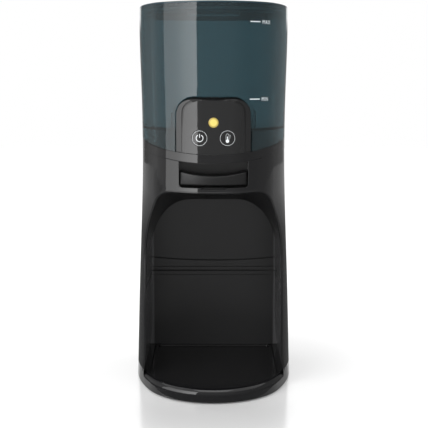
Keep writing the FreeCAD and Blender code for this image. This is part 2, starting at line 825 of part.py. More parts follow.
def make_lever():
    """Push-down lever: a dished paddle in front, a hub on the pin, and a fork under the valve collar."""
    dish_radius = (lever_half_width ** 2 + lever_dish_rise ** 2) / (2 * lever_dish_rise)
    paddle = box(-lever_half_width, lever_half_width, front_y, recess_back_y - 2 * lever_side_gap,
                 lever_bottom, lever_top + lever_dish_rise)
    paddle = paddle.common(form(lever_setback))
    paddle = paddle.cut(rod_y(dish_radius, front_y - past, 0, 0, lever_top + dish_radius))
    paddle = round_edges(paddle, lever_corner,
                         lambda edge: edge.BoundBox.ZLength > 5 and edge.BoundBox.YMax < waist_front_y + 12)
    rise_y = nozzle_y - arm_rise_length
    pad = fork_pad_half_length
    outline = [
        (recess_back_y - 3 * lever_side_gap, arm_low), (pivot_y + lever_hub_radius, arm_low),
        (rise_y, fork_low), (nozzle_y + fork_overrun, fork_low),
        (nozzle_y + fork_overrun, fork_top - fork_drop), (nozzle_y + pad, fork_top - fork_drop),
        (nozzle_y + pad, fork_top), (nozzle_y - pad, fork_top),
        (nozzle_y - pad, fork_top - fork_drop), (rise_y - arm_taper_step, fork_top - fork_drop),
        (pivot_y + lever_hub_radius - arm_taper_step, arm_high),
        (recess_back_y - 3 * lever_side_gap, arm_high),
    ]
    corners = [V(-arm_half_width, y, z) for y, z in outline + outline[:1]]
    arm = Part.Face(Part.makePolygon(corners)).extrude(V(2 * arm_half_width, 0, 0))
    hub = rod_x(lever_hub_radius, -arm_half_width, arm_half_width, pivot_y, pivot_height)
    slot = box(-fork_slot_half_width, fork_slot_half_width, rise_y + fork_slot_start, nozzle_y + fork_overrun + past,
               arm_low, fork_top + past)
    lever = fuse([paddle, arm, hub]).cut(slot)
    return lever.cut(rod_x(lever_pin_radius + running_gap, -arm_half_width - past, arm_half_width + past,
                           pivot_y, pivot_height))


def make_lever_pin():
    half = arm_half_width + lever_side_gap / 2 + ear_thickness + pin_showing
    return rod_x(lever_pin_radius, -half, half, pivot_y, pivot_height)


def make_valve_body():
    """Valve chamber over the nozzle with a raised seat and a side spigot for the hose."""
    low = liner_top + joint_gap
    spigot_end = nozzle_y + valve_radius + spigot_length
    body = fuse([rod_z(valve_radius, low, valve_top, 0, nozzle_y),
                 rod_z(valve_radius + valve_foot_overhang, low, low + valve_foot_height, 0, nozzle_y),
                 rod_y(spigot_radius, nozzle_y, spigot_end, 0, outlet_height)])
    body = body.cut(rod_z(valve_bore, valve_seat, valve_top + past, 0, nozzle_y))
    body = body.cut(rod_z(seat_radius, low - past, valve_seat + past, 0, nozzle_y))
    return body.cut(rod_y(spigot_bore, nozzle_y, spigot_end + past, 0, outlet_height))


def make_valve_cap():
    plug_low = valve_top - valve_cap_height / 2
    cap = fuse([rod_z(valve_radius + valve_cap_overhang, valve_top, valve_top + valve_cap_height, 0, nozzle_y),
                rod_z(valve_bore - joint_gap, plug_low, valve_top + overlap, 0, nozzle_y)])
    bore_top = valve_top + valve_cap_height + past
    return cap.cut(rod_z(stem_radius + running_gap, plug_low - past, bore_top, 0, nozzle_y))


def make_valve_plunger():
    """Stem with a retainer for the seal below and the collar that the fork lifts."""
    return fuse([rod_z(retainer_radius, stem_low, retainer_top, 0, nozzle_y),
                 rod_z(stem_radius, stem_low, collar_low + collar_thickness + stem_end, 0, nozzle_y),
                 rod_z(collar_radius, collar_low, collar_low + collar_thickness, 0, nozzle_y)])


def sleeve(radius, z0, z1, x, y, thickness):
    """A plain hollow cylinder, which stands in for a hidden coil spring or a ring."""
    return rod_z(radius, z0, z1, x, y).cut(rod_z(radius - thickness, z0 - past, z1 + past, x, y))


def make_nozzle():
    """Tapered spout that hangs just below the ceiling of the bay."""
    taper_top = bay_top - nozzle_straight
    tip = Part.makeCone(nozzle_tip_radius, nozzle_radius, taper_top - nozzle_tip, V(0, nozzle_y, nozzle_tip))
    spout = fuse([tip, rod_z(nozzle_radius, taper_top, liner_top + joint_gap, 0, nozzle_y)])
    return spout.cut(rod_z(nozzle_bore, nozzle_tip - past, liner_top + past, 0, nozzle_y))


def make_hose():
    front = nozzle_y + valve_radius + joint_gap
    back = vessel_y - vessel_radius - joint_gap
    hose = rod_y(spigot_radius + hose_wall, front, back, 0, outlet_height)
    return hose.cut(rod_y(spigot_radius, front - past, back + past, 0, outlet_height))


def make_heater_vessel():
    """Deep-drawn steel cup with a flange, an outlet spigot towards the valve and a sensor hole."""
    spigot_start = nozzle_y + valve_radius + spigot_length + spigot_gap
    vessel = fuse([rod_z(vessel_radius, vessel_bottom, flange_top, 0, vessel_y),
                   rod_z(flange_radius, flange_top - flange_thickness, flange_top, 0, vessel_y),
                   rod_y(spigot_radius, spigot_start, vessel_y, 0, outlet_height)])
    inner_radius = vessel_radius - vessel_wall
    vessel = vessel.cut(rod_z(inner_radius, vessel_bottom + vessel_wall, flange_top + past, 0, vessel_y))
    vessel = vessel.cut(rod_y(spigot_bore, spigot_start - past, vessel_y, 0, outlet_height))
    vessel = vessel.cut(rod_x(sensor_radius + press_gap, 0, flange_radius, vessel_y, sensor_height))
    for x, y in flange_screw_places:
        vessel = vessel.cut(rod_z(flange_screw_size + press_gap, flange_top - 2 * past, flange_top + past, x, y))
    return vessel


def make_flange_screws():
    seat = flange_top - flange_thickness
    return Part.makeCompound([
        fuse([rod_z(flange_screw_head, seat - screw_head_height, seat, x, y),
              rod_z(flange_screw_size, seat, deck_high + flange_screw_bite, x, y)])
        for x, y in flange_screw_places])


def make_heating_element():
    """Open ring of sheathed heater brazed under the plate, with two cold ends."""
    centre_z = heater_low - element_tube_radius + element_braze
    ring = Part.makeTorus(element_ring_radius, element_tube_radius, V(0, vessel_y, centre_z), V(0, 0, 1),
                          0, 360, 360 - 2 * element_gap_turn)
    ring.rotate(V(0, vessel_y, centre_z), V(0, 0, 1), 90 + element_gap_turn)
    ends = []
    for turn in (90 + element_gap_turn, 90 - element_gap_turn):
        x = element_ring_radius * math.cos(math.radians(turn))
        y = vessel_y + element_ring_radius * math.sin(math.radians(turn))
        ends.append(rod_z(element_end_radius, centre_z - element_tube_radius - terminal_length, centre_z, x, y))
    return fuse([ring] + ends).common(slab(0, heater_low))


def make_thermal_cutout():
    low = heater_low - cutout_height
    can = rod_z(cutout_radius, low, heater_low, 0, vessel_y)
    wide = cutout_tab_width / 2
    thin = cutout_tab_thickness / 2
    tabs = [box(x - wide, x + wide, vessel_y - thin, vessel_y + thin, low - terminal_length, low + overlap)
            for x in (-cutout_tab_spread, cutout_tab_spread)]
    return fuse([can] + tabs)


def make_sensor():
    tip = vessel_radius - sensor_length / 2
    probe = rod_x(sensor_radius, tip, tip + sensor_length, vessel_y, sensor_height)
    collar = rod_x(sensor_collar, vessel_radius + joint_gap, vessel_radius + sensor_collar, vessel_y, sensor_height)
    return fuse([probe, collar])


def make_power_board():
    half = power_board_half_width
    board = box(-half, half, board_front_y, board_back_y, power_board_low, power_board_high)
    for x, z in board_post_places:
        board = board.cut(rod_y(screw_radius + press_gap, liner_back_y, board_back_y + past, x, z))
    return board


def on_board(x, z, width, height, depth):
    """A block on the power board about a place on its face."""
    return box(x - width / 2, x + width / 2, board_back_y, board_back_y + depth, z - height / 2, z + height / 2)


def make_transformer():
    place = (-transformer_off_centre, power_board_low + transformer_above_board_edge + transformer_height / 2)
    core = on_board(*place, transformer_width, transformer_height, transformer_depth)
    return fuse([core, on_board(*place, coil_width, coil_height, coil_depth)])


def make_board_parts():
    """Smoothing capacitors, relay and terminal block on the power board."""
    low = power_board_low + capacitor_above_board_edge
    parts = [rod_y(capacitor_radius, board_back_y, board_back_y + capacitor_length, x, low)
             for x in capacitor_places]
    parts.append(on_board(relay_place, low, relay_width, relay_height, relay_depth))
    block_z = power_board_high - terminal_edge_gap - terminal_height / 2
    parts.append(on_board(0, block_z, 2 * terminal_half_width, terminal_height, terminal_depth))
    return Part.makeCompound(parts)


def make_base_plate():
    """Bottom cover with recessed screw heads and foot seats."""
    plate = form(body_wall + joint_gap).common(slab(foot_stand, plate_high))
    for x, y in base_screw_places:
        plate = plate.cut(rod_z(screw_radius + running_gap, 0, plate_high + past, x, y))
        plate = plate.cut(rod_z(screw_head_radius + button_gap, 0, plate_high - base_screw_skin, x, y))
    for x, y in foot_places:
        plate = plate.cut(rod_z(foot_radius + running_gap, 0, foot_stand + foot_recess, x, y))
    return plate


def make_base_screws():
    seat = plate_high - base_screw_skin
    return Part.makeCompound([
        fuse([rod_z(screw_head_radius, foot_stand + running_gap, seat, x, y),
              rod_z(screw_radius, seat, tray_seat - deck_thickness, x, y)])
        for x, y in base_screw_places])


def make_feet():
    feet = []
    for x, y in foot_places:
        foot = rod_z(foot_radius, 0, foot_stand + foot_recess, x, y)
        feet.append(round_edges(foot, foot_round, lambda edge: flat_at(edge, 0)))
    return Part.makeCompound(feet)


def make_gland():
    """Grommet with a collar inside the rear cover, through which the supply cord leaves."""
    inner = back_y_at(gland_height, body_wall)
    collar = rod_y(gland_collar_radius, inner - gland_collar_length, reach, 0, gland_height)
    collar = collar.common(form(body_wall + joint_gap))
    tube = rod_y(gland_radius, inner - gland_collar_length - gland_tail, reach, 0, gland_height)
    gland = fuse([collar, tube.common(form(lift_gap))])
    return gland.cut(rod_y(gland_bore, 0, reach, 0, gland_height))


def make_water_tank():
    """Clear tank with a skirt over the plinth and an arched pocket in front for the control tower."""
    outside = form().common(above_seam(lift_gap)).common(slab(0, lid_low))
    pocket = tower_prism(pocket_gap, tower_back_y + pocket_gap)
    pocket_skin = tower_prism(pocket_gap + tank_wall, tower_back_y + pocket_gap + tank_wall)
    inside = form(tank_wall).common(slab(floor_top, total_height)).cut(pocket_skin)
    skirt_space = form(tank_wall).common(slab(0, plinth_top))
    tank = outside.cut(inside).cut(skirt_space).cut(pocket)
    return tank.cut(rod_z(outlet_tube_radius + press_gap, 0, floor_top + past, 0, vessel_y))


def make_outlet_housing():
    """Valve cage of the tank: tube into the well, flange on the tank floor, windows and stem guide."""
    housing = fuse([rod_z(outlet_tube_radius, outlet_low, cage_high, 0, vessel_y),
                    rod_z(outlet_flange_radius, floor_top, floor_top + outlet_flange_thickness, 0, vessel_y)])
    seat_top = outlet_low + outlet_seat_thickness
    housing = housing.cut(rod_z(outlet_bore, seat_top, cage_high - cage_top, 0, vessel_y))
    housing = housing.cut(rod_z(outlet_seat_radius, outlet_low - past, seat_top + past, 0, vessel_y))
    housing = housing.cut(rod_z(poppet_stem_radius + running_gap, outlet_low, cage_high + past, 0, vessel_y))
    low = floor_top + outlet_flange_thickness
    half = cage_window / 2
    wide = outlet_tube_radius + past
    housing = housing.cut(box(-wide, wide, vessel_y - half, vessel_y + half, low, cage_high - cage_top))
    return housing.cut(box(-half, half, vessel_y - wide, vessel_y + wide, low, cage_high - cage_top))


def make_poppet():
    seal_top = poppet_rest + poppet_seal_thickness
    return fuse([rod_z(poppet_radius, seal_top, poppet_top, 0, vessel_y),
                 rod_z(poppet_stem_radius, seal_top, cage_high + poppet_travel, 0, vessel_y)])


def make_lid():
    """Flat lid with a plug rim inside the tank and a finger recess crossed by a grip rib."""
    cap = form().common(slab(lid_low, total_height))
    cap = round_edges(cap, lid_edge_round, lambda edge: flat_at(edge, total_height))
    plug = form(plug_inset).cut(form(plug_inset + lid_plug_wall))
    plug = plug.common(slab(lid_low - lid_plug_depth, lid_low + lid_thickness / 2))

    def grip(grow, z0, z1):
        radius = grip_width / 2 + grow
        half = grip_length / 2 - grip_width / 2
        bar = box(-half, half, widest_y - radius, widest_y + radius, z0, z1)
        return fuse([bar, rod_z(radius, z0, z1, half, widest_y), rod_z(radius, z0, z1, -half, widest_y)])

    cup = grip(lid_thickness, lid_low - grip_depth, total_height - lid_thickness / 2)
    hollow = grip(0.0, lid_low - grip_depth + lid_thickness, total_height + past)
    rib = box(-grip_length / 2, grip_length / 2, widest_y - grip_rib / 2, widest_y + grip_rib / 2,
              lid_low - grip_depth + lid_thickness / 2, total_height)
    return fuse([fuse([cap, plug, cup]).cut(hollow), rib])


def make_tray():
    """Drip tray with a shallow dish inside a rounded rim."""
    tray = tray_prism(tray_seat, tray_top, 0.0)
    tray = tray.cut(tray_prism(tray_top - tray_dish_depth, tray_top + past, tray_dish_inset))
    return round_edges(tray, tray_round, lambda edge: flat_at(edge, tray_top))


def build():
    """All nodes by name."""
    upper_liner, lower_liner = make_liners()
    spring_low = valve_top - valve_cap_height / 2
    lid_seal_top = lid_low - lid_seal_drop
    return {
        "outer_shell": make_outer_shell(),
        "rear_cover": make_rear_cover(),
        "rear_cover_screws": make_cover_screws(),
        "upper_bay_liner": upper_liner,
        "lower_bay_liner": lower_liner,
        "tank_seat": make_tank_seat(),
        "control_tower": make_control_tower(),
        "control_bezel": make_control_bezel(),
        "power_button": make_button(-button_spread),
        "temperature_button": make_button(button_spread),
        "indicator_lens": make_lens(),
        "control_board": make_control_board(),
        "control_board_screws": board_screws(tower_post_places, control_board_y, -1, control_screw_bite),
        "button_switches": make_button_switches(),
        "indicator_led": make_led(),
        "lever_housing": make_lever_housing(),
        "lever_pin": make_lever_pin(),
        "dispense_lever": make_lever(),
        "valve_body": make_valve_body(),
        "valve_cap": make_valve_cap(),
        "valve_plunger": make_valve_plunger(),
        "valve_seal": rod_z(valve_seal_radius, valve_seat + running_gap, stem_low, 0, nozzle_y),
        "valve_spring": sleeve(spring_radius, retainer_top, spring_low, 0, nozzle_y, spring_thickness),
        "nozzle": make_nozzle(),
        "outlet_hose": make_hose(),
        "heater_vessel": make_heater_vessel(),
        "vessel_gasket": sleeve(flange_screw_ring - flange_boss_radius - joint_gap, flange_top, deck_high,
                                0, vessel_y, gasket_width),
        "vessel_screws": make_flange_screws(),
        "heater_plate": rod_z(heater_plate_radius, heater_low, vessel_bottom, 0, vessel_y),
        "heating_element": make_heating_element(),
        "thermal_cutout": make_thermal_cutout(),
        "temperature_sensor": make_sensor(),
        "power_board": make_power_board(),
        "power_board_screws": board_screws(board_post_places, board_back_y, 1, power_screw_bite),
        "mains_transformer": make_transformer(),
        "board_parts": make_board_parts(),
        "base_plate": make_base_plate(),
        "base_screws": make_base_screws(),
        "rubber_feet": make_feet(),
        "cord_gland": make_gland(),
        "water_tank": make_water_tank(),
        "tank_outlet_housing": make_outlet_housing(),
        "tank_outlet_seal": sleeve(well_radius - lift_gap, outlet_low + outlet_seal_height,
                                   outlet_low + 2 * outlet_seal_height, 0, vessel_y,
                                   well_radius - lift_gap - outlet_tube_radius),
        "tank_poppet": make_poppet(),
        "poppet_seal": rod_z(poppet_radius, poppet_rest, poppet_rest + poppet_seal_thickness, 0, vessel_y),
        "poppet_spring": sleeve(spring_radius, poppet_top, cage_high - cage_top, 0, vessel_y, spring_thickness),
        "tank_lid": make_lid(),
        "lid_seal": form(tank_wall + lift_gap).cut(form(plug_inset)).common(
            slab(lid_seal_top - lid_seal_height, lid_seal_top)),
        "drip_tray": make_tray(),
    }


if __name__ == "__main__":
    os.makedirs("parts", exist_ok=True)
    for name, shape in build().items():
        shape.exportStep("parts/" + name + ".step")
        print(name, "valid" if shape.isValid() else "INVALID", len(shape.Solids), round(shape.Volume, 1))
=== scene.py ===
"""Looks of the formula water warmer: finishes, printed marks and the surfaces seen from outside.

Metres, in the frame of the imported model: the front looks along -Y, +X is to its right, +Z is up."""
import json
import math

import bpy
import numpy as np
from bpy.props import FloatProperty, FloatVectorProperty, PointerProperty
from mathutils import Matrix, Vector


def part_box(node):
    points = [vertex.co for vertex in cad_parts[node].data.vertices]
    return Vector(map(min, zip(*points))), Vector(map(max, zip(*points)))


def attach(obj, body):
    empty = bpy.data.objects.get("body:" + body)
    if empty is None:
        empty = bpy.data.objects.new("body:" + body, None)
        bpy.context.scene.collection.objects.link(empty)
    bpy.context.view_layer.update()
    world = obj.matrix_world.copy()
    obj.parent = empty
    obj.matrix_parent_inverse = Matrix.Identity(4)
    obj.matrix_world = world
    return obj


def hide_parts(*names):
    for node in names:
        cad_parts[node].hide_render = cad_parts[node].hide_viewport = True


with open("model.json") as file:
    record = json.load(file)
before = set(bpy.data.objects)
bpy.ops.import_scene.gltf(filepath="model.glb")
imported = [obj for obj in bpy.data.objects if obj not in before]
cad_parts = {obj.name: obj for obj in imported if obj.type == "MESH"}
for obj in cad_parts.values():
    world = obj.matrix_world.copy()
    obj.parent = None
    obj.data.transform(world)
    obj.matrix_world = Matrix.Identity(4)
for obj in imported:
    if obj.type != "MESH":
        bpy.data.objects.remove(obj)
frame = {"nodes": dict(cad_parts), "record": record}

bl_info = {
    "name": "Formula water warmer",
    "version": (1, 0, 0),
    "blender": (4, 5, 0),
    "location": "3D View > Sidebar > Warmer",
    "description": "Builds the outside surfaces, prints, finishes and studio of a formula water warmer",
    "category": "Object",
}

NODES = frame["nodes"]
LID_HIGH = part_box("tank_lid")[1]
BUTTON_LOW, BUTTON_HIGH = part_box("temperature_button")
LENS_LOW, LENS_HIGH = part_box("indicator_lens")
BUTTON_SPREAD = (BUTTON_LOW.x + BUTTON_HIGH.x) / 2
BUTTON_HEIGHT = (BUTTON_LOW.z + BUTTON_HIGH.z) / 2
LENS_HEIGHT = (LENS_LOW.z + LENS_HIGH.z) / 2
PHOTO_PIXELS, SENSOR_WIDTH, CLIP_END = 428, 36.0, 20.0
WHITE = (1.0, 1.0, 1.0, 1.0)
SHARP_EDGE = math.radians(42)
FINISHES = {}
# Heights at which the form has a half width of its own
STATIONS = (0.0, 0.070, 0.140, 0.207, 0.270, LID_HIGH.z)
# Distance from the middle over which the painted light on the bay's side walls sets in, brightening their
# base colour
PAINTED_LIGHT_START, PAINTED_LIGHT_END = 0.0585, 0.0600
# Thickness of the lid's plate, and the height below it over which the tint turns to the plug's paler, painted
# light
LID_PLATE, PLUG_FADE = 0.0019, 0.0004
RELIEF_DISTANCE, WAVE_DEPTH = 0.0004, 0.05
# Noise levels between which the haze sets in
HAZE_START, HAZE_END = 0.45, 0.75
# Indicator: strength at its rim, and what its middle has more; tank: blend, and the brightness of the painted
# shade where its wall is seen edge on
RIM_STRENGTH, CORE_EXTRA = 0.4, 0.5
SLANT_BLEND, PAINTED_EDGE_SHADE = 0.3, 0.35
# Height of a capital as a share of the letters' size, and the space between letters
CAPITAL_SHARE, LETTER_SPACING = 0.72, 1.12
# Lines in the bay: how far they stand off the wall and end short of it, and their widths
LINE_STAND, LINE_GAP = 0.00004, 0.0002
BEAD_TOP_SHADE, BEAD_FOOT_SHADE, LINING_FOOT_LINE, JOINT_LINE = 0.0008, 0.0006, 0.0005, 0.0013
# How far the lowest line lies under the seam
LINING_FOOT_DROP = 0.0042
# Keys and indicator, depths under the form and radii: flange and stem
FLANGE_FRONT, FLANGE_BACK, STEM_START, STEM_RADIUS = 0.0027, 0.0036, 0.0037, 0.002
# Shares of the radius at which a face has rings, the last ring at the back, and the indicator's sink
MIDDLE_SHARE, FACE_SHARES = 0.02, (0.02, 0.4, 0.7, 0.97)
CLOSING_RADIUS, CLOSING_STEP, LENS_SINK = 0.0005, 0.0001, 0.0001
# Panel: gaps at its foot and shoulder, overhang of the line above it, widths of the band's two lines
PANEL_FOOT_GAP, PANEL_SHOULDER_GAP, BAND_OVERHANG = 0.0006, 0.0001, 0.0045
BAND_TOP_LINE, BAND_FOOT_LINE = 0.0004, 0.0006
# Screws: head and shank, length of the rear ones and place of the upper two, slots from full depth to none
HEAD_RADIUS, HEAD_DEPTH, HEAD_DOME = 0.0028, 0.0016, 0.0004
SHANK_RADIUS, TIP_LENGTH, TIP_RADIUS = 0.0015, 0.0006, 0.0004
REAR_SCREW_LENGTH, UPPER_SCREW_END = 0.00605, 0.08243
SLOT_DEPTH, SLOT_HALF_WIDTH, SLOT_HALF_LENGTH = 0.0008, (0.0003, 0.00045), (0.0015, 0.0018)
# Light tent: radiance by direction, in degrees to the right of the front
TENT = ((-160, 0.1), (-150, 0.14), (-139, 0.27), (-125, 0.47), (-110, 0.53), (-93.2, 0.6), (-93.0, 2.1),
        (-79, 2.5), (-70, 2.8), (-62, 3.2), (-55, 3.7), (-47, 4.2), (-33, 4.75), (-28.1, 4.8), (-27.9, 0.58),
        (-18, 0.52), (30, 0.5), (45, 0.42), (57, 0.36), (90, 0.34), (104, 0.29), (133, 0.2), (150, 0.2),
        (160, 0.16))
# Overhead softbox (left, right, front and rear edge), and the board: inner radius and height
SOFTBOX = (-0.75, 0.75, -1.25, -0.05)
BOARD_HOLE, BOARD_HEIGHT = 0.09, 0.0008
# Radiance of the board by reach, ahead and behind, and the turn over which one passes into the other
BOARD_AHEAD = ((0.1, 0.3, 0.7), (0.3, 0.3, 0.5))
BOARD_BEHIND = ((1.0, 1.8), (0.1, 0.34))
BOARD_TURN = (0.8, 1.2)
LAMP_SIDE, LAMP_PLACE = 1.6, (-1.3, -1.5, 1.7)
# Height of a glossy ray's direction over which the dark band at the horizon turns white
HORIZON_BAND = (0.036, 0.052)
# Floor: its plastic, the distances over which its gloss and its brightness for the camera change, and the
# spot in front of the object where that brightness is lowered as painted shade
FLOOR_TONE, FLOOR_ROUGHNESS, FLOOR_IOR, FLOOR_GLOSS = 0.84, 0.16, 2.6, 0.5
GLOSS_REACH, LIFT_REACH, PAINTED_SHADE_REACH = (0.22, 0.55), (0.1, 0.24), (0.03, 0.1)
PAINTED_SHADE_SPOT = (0.0, -0.13, 0.0)


def length(name, description, default):
    """A size in metres that shows in the panel."""
    return FloatProperty(name=name, description=description, default=default, unit="LENGTH", precision=4)


def number(name, description, default, unit="NONE"):
    """A plain number or an angle that shows in the panel."""
    return FloatProperty(name=name, description=description, default=default, unit=unit)


def colour(name, description, default):
    """A colour that shows in the panel."""
    return FloatVectorProperty(name=name, description=description, default=default, subtype="COLOR",
                               size=3, min=0.0, max=1.0)


class WarmerForm(bpy.types.PropertyGroup):
    """Overall form of the tower, the same sizes that the solids have."""
    base_half_width: length("Base half width", "Half width at the table", 0.072)
    lower_half_width: length("Lower half width", "Half width 70 mm up", 0.0699)
    middle_half_width: length("Middle half width", "Half width 140 mm up", 0.06735)
    waist_half_width: length("Waist half width", "Half width 207 mm up", 0.0656)
    shoulder_half_width: length("Shoulder half width", "Half width 270 mm up", 0.06635)
    top_half_width: length("Top half width", "Half width at the lid", 0.0673)
    front_depth: length("Front depth", "From the widest line to the front", 0.110)
    back_depth: length("Back depth", "From the widest line to the back", 0.070)
    nose_radius: length("Nose radius", "Plan radius of the front", 0.062)
    back_radius: length("Back radius", "Plan radius of the back", 0.260)
    back_arc_half_width: length("Back arc half width", "Where the back arc meets its corners", 0.057)
    back_corner_radius: length("Back corner radius", "Plan radius of the back corners", 0.016)
    seam_low: length("Seam height", "Lowest point of the smile-shaped seam", 0.2126)
    seam_radius: length("Seam radius", "Radius of the smile-shaped seam", 0.235)


class WarmerPrints(bpy.types.PropertyGroup):
    """Printed marks on the tank and the panel."""
    mark_length: length("Dash length", "Length of a level dash along the wall", 0.0108)
    mark_start: length("Dash start", "From the middle to the dash, along the wall", 0.0322)
    mark_thickness: length("Dash thickness", "Height of a level dash", 0.0008)
    word_gap: length("Word gap", "Between the dash and its word", 0.0022)
    word_height: length("Word height", "Height of the capitals", 0.0034)
    max_height: length("MAX height", "Height of the upper mark", 0.3233)
    min_height: length("MIN height", "Height of the lower mark", 0.2591)
    ring_radius: length("Ring radius", "Outer radius of the ring on a key", 0.0063)
    ring_width: length("Ring width", "Line width of the ring", 0.00024)
    print_lift: length("Print lift", "How far a print stands off its surface", 0.00006)


class WarmerBay(bpy.types.PropertyGroup):
    """The bay: its arch seen from the front, the lines on its walls and its rounded lip."""
    half_width: length("Bay half width", "Half width between the side walls", 0.0608)
    spring: length("Spring height", "Where the sides begin to lean in", 0.116)
    side_radius: length("Side radius", "Radius of the leaning sides", 0.140)
    corner: length("Corner radius", "Radius of the upper corners", 0.016)
    top: length("Bay top", "Height of the arch", 0.180)
    foot: length("Foot height", "Where the arch stands on the rim", 0.0125)
    flare: length("Foot flare", "How far the foot spreads", 0.0025)
    flare_height: length("Flare height", "Height of the spread foot", 0.030)
    wall_y: length("Back wall", "Place of the back wall", 0.066)
    wall_front: length("Side wall front", "Front end of the lining's side walls", -0.029)
    seam: length("Lining seam", "Height of the joint in the lining", 0.08705)
    bead_low: length("Bead foot", "Lower edge of the raised band", 0.0913)
    bead_high: length("Bead top", "Upper edge of the raised band in the middle", 0.0972)
    bead_sag: length("Bead sag", "How much higher that edge is at the sides", 0.0032)
    lip_radius: length("Lip radius", "Rounding of the bay's edge", 0.001)
    lip_stand: length("Lip stand", "How far the lip stands off the shell", 0.0003)


class WarmerControls(bpy.types.PropertyGroup):
    """Keys, indicator, panel edge and lever."""
    key_radius: length("Key radius", "Radius of a key", 0.0064)
    key_sink: length("Key sink", "Depth of a key's face under the panel", 0.00025)
    key_round: length("Key edge", "Rounding of a key's edge", 0.0004)
    lens_radius: length("Lens radius", "Radius of the indicator", 0.0042)
    lens_crown: length("Lens crown", "Rise of the indicator's dome", 0.0005)
    plate_half_width: length("Plate half width", "Half width of the panel's flat", 0.0267)
    plate_top: length("Plate top", "Height of the panel's flat", 0.2581)
    plate_corner: length("Plate corner", "Corner radius of the panel's flat", 0.0104)
    line_width: length("Line width", "Width of the dark line round the flat", 0.0004)
    band_height: length("Band height", "Height of the band under the tank's seam", 0.0076)
    band_reach: length("Band reach", "Half width of the line under the band", 0.041)
    lever_half_width: length("Lever half width", "Half width of the paddle", 0.0284)
    lever_low: length("Lever foot", "Lower edge of the paddle", 0.1873)
    lever_high: length("Lever top", "Upper edge of the paddle in the middle", 0.1944)
    lever_rise: length("Lever rise", "How much higher that edge is at the ends", 0.0035)
    lever_setback: length("Lever setback", "Depth of the paddle under the shell", 0.0009)
    lever_back: length("Lever back", "Place of the paddle's back", -0.0582)
    skin: length("Skin", "Thickness of the rounded skin on the paddle", 0.0003)
    skin_round: length("Skin edge", "Rounding of the paddle's long edges", 0.001)
    skin_corner: length("Skin corner", "Rounding of the paddle's ends", 0.0028)


class WarmerColours(bpy.types.PropertyGroup):
    """Base colours of the finishes."""
    body: colour("Gloss black", "Outer shell and rear cover", (0.0065, 0.0065, 0.0072))
    satin: colour("Satin black", "Lining of the bay", (0.03, 0.03, 0.0308))
    panel: colour("Panel grey", "Control panel", (0.014, 0.0142, 0.0146))
    lever: colour("Lever black", "Dispensing lever", (0.009, 0.009, 0.0094))
    tank: colour("Tank tint", "Smoky blue of the tank", (0.105, 0.205, 0.235))
    lid: colour("Lid tint", "Smoky blue of the lid", (0.02, 0.046, 0.062))
    # Painted light: the plug is tinted paler than the lid to stand in for light coming down through the plate
    lid_plug_painted_light: colour("Lid plug tint", "Lid below its plate, lit through the plate", (0.045, 0.1, 0.145))
    printing: colour("Print white", "Printed marks", (0.92, 0.95, 0.97))
    glow: colour("Indicator rim", "Rim of the lit indicator", (0.72, 0.58, 0.13))
    glow_core: colour("Indicator core", "Middle of the lit indicator", (0.88, 0.76, 0.2))
    glow_base: colour("Indicator body", "Plastic of the indicator", (0.2, 0.13, 0.03))


class WarmerStudio(bpy.types.PropertyGroup):
    """Camera, lamps and backdrop."""
    camera_distance: length("Camera distance", "From the origin forwards", 0.9537)
    camera_height: length("Camera height", "Above the table", 0.2806)
    camera_aside: length("Camera aside", "To the right of the middle", 0.0004)
    camera_pitch: number("Camera pitch", "Downward tilt", math.radians(7.666), "ROTATION")
    focal_pixels: number("Focal length in pixels", "Of a frame 428 pixels wide", 1045.0)
    surround_level: number("Surround level", "World light on the object", 0.75)
    low_level: number("Low level", "World near the horizon, seen by gloss", 0.2)
    lamp_level: number("Lamp level", "Radiance of the left lamp", 3.5)
    top_level: number("Top level", "Radiance of the overhead softbox", 2.6)
    floor_lift: number("Floor lift", "Added to the floor near the object", 0.22)
    # Painted shade: emission taken from the floor in a spot in front of the object, darkening it there beyond
    # its real shadow and reflection
    painted_front_shade: number("Front drop", "Taken from the floor in front", 0.13)
    far_lift: number("Far lift", "Added to the floor away from the object", 0.38)
    tent_radius: length("Tent radius", "Radius of the light tent", 2.5)
    board_radius: length("Board radius", "Radius of the board on the floor", 3.6)
    tent_height: length("Tent height", "Height of the light tent", 2.2)
    floor_extent: length("Floor extent", "Half side of the floor", 3.0)


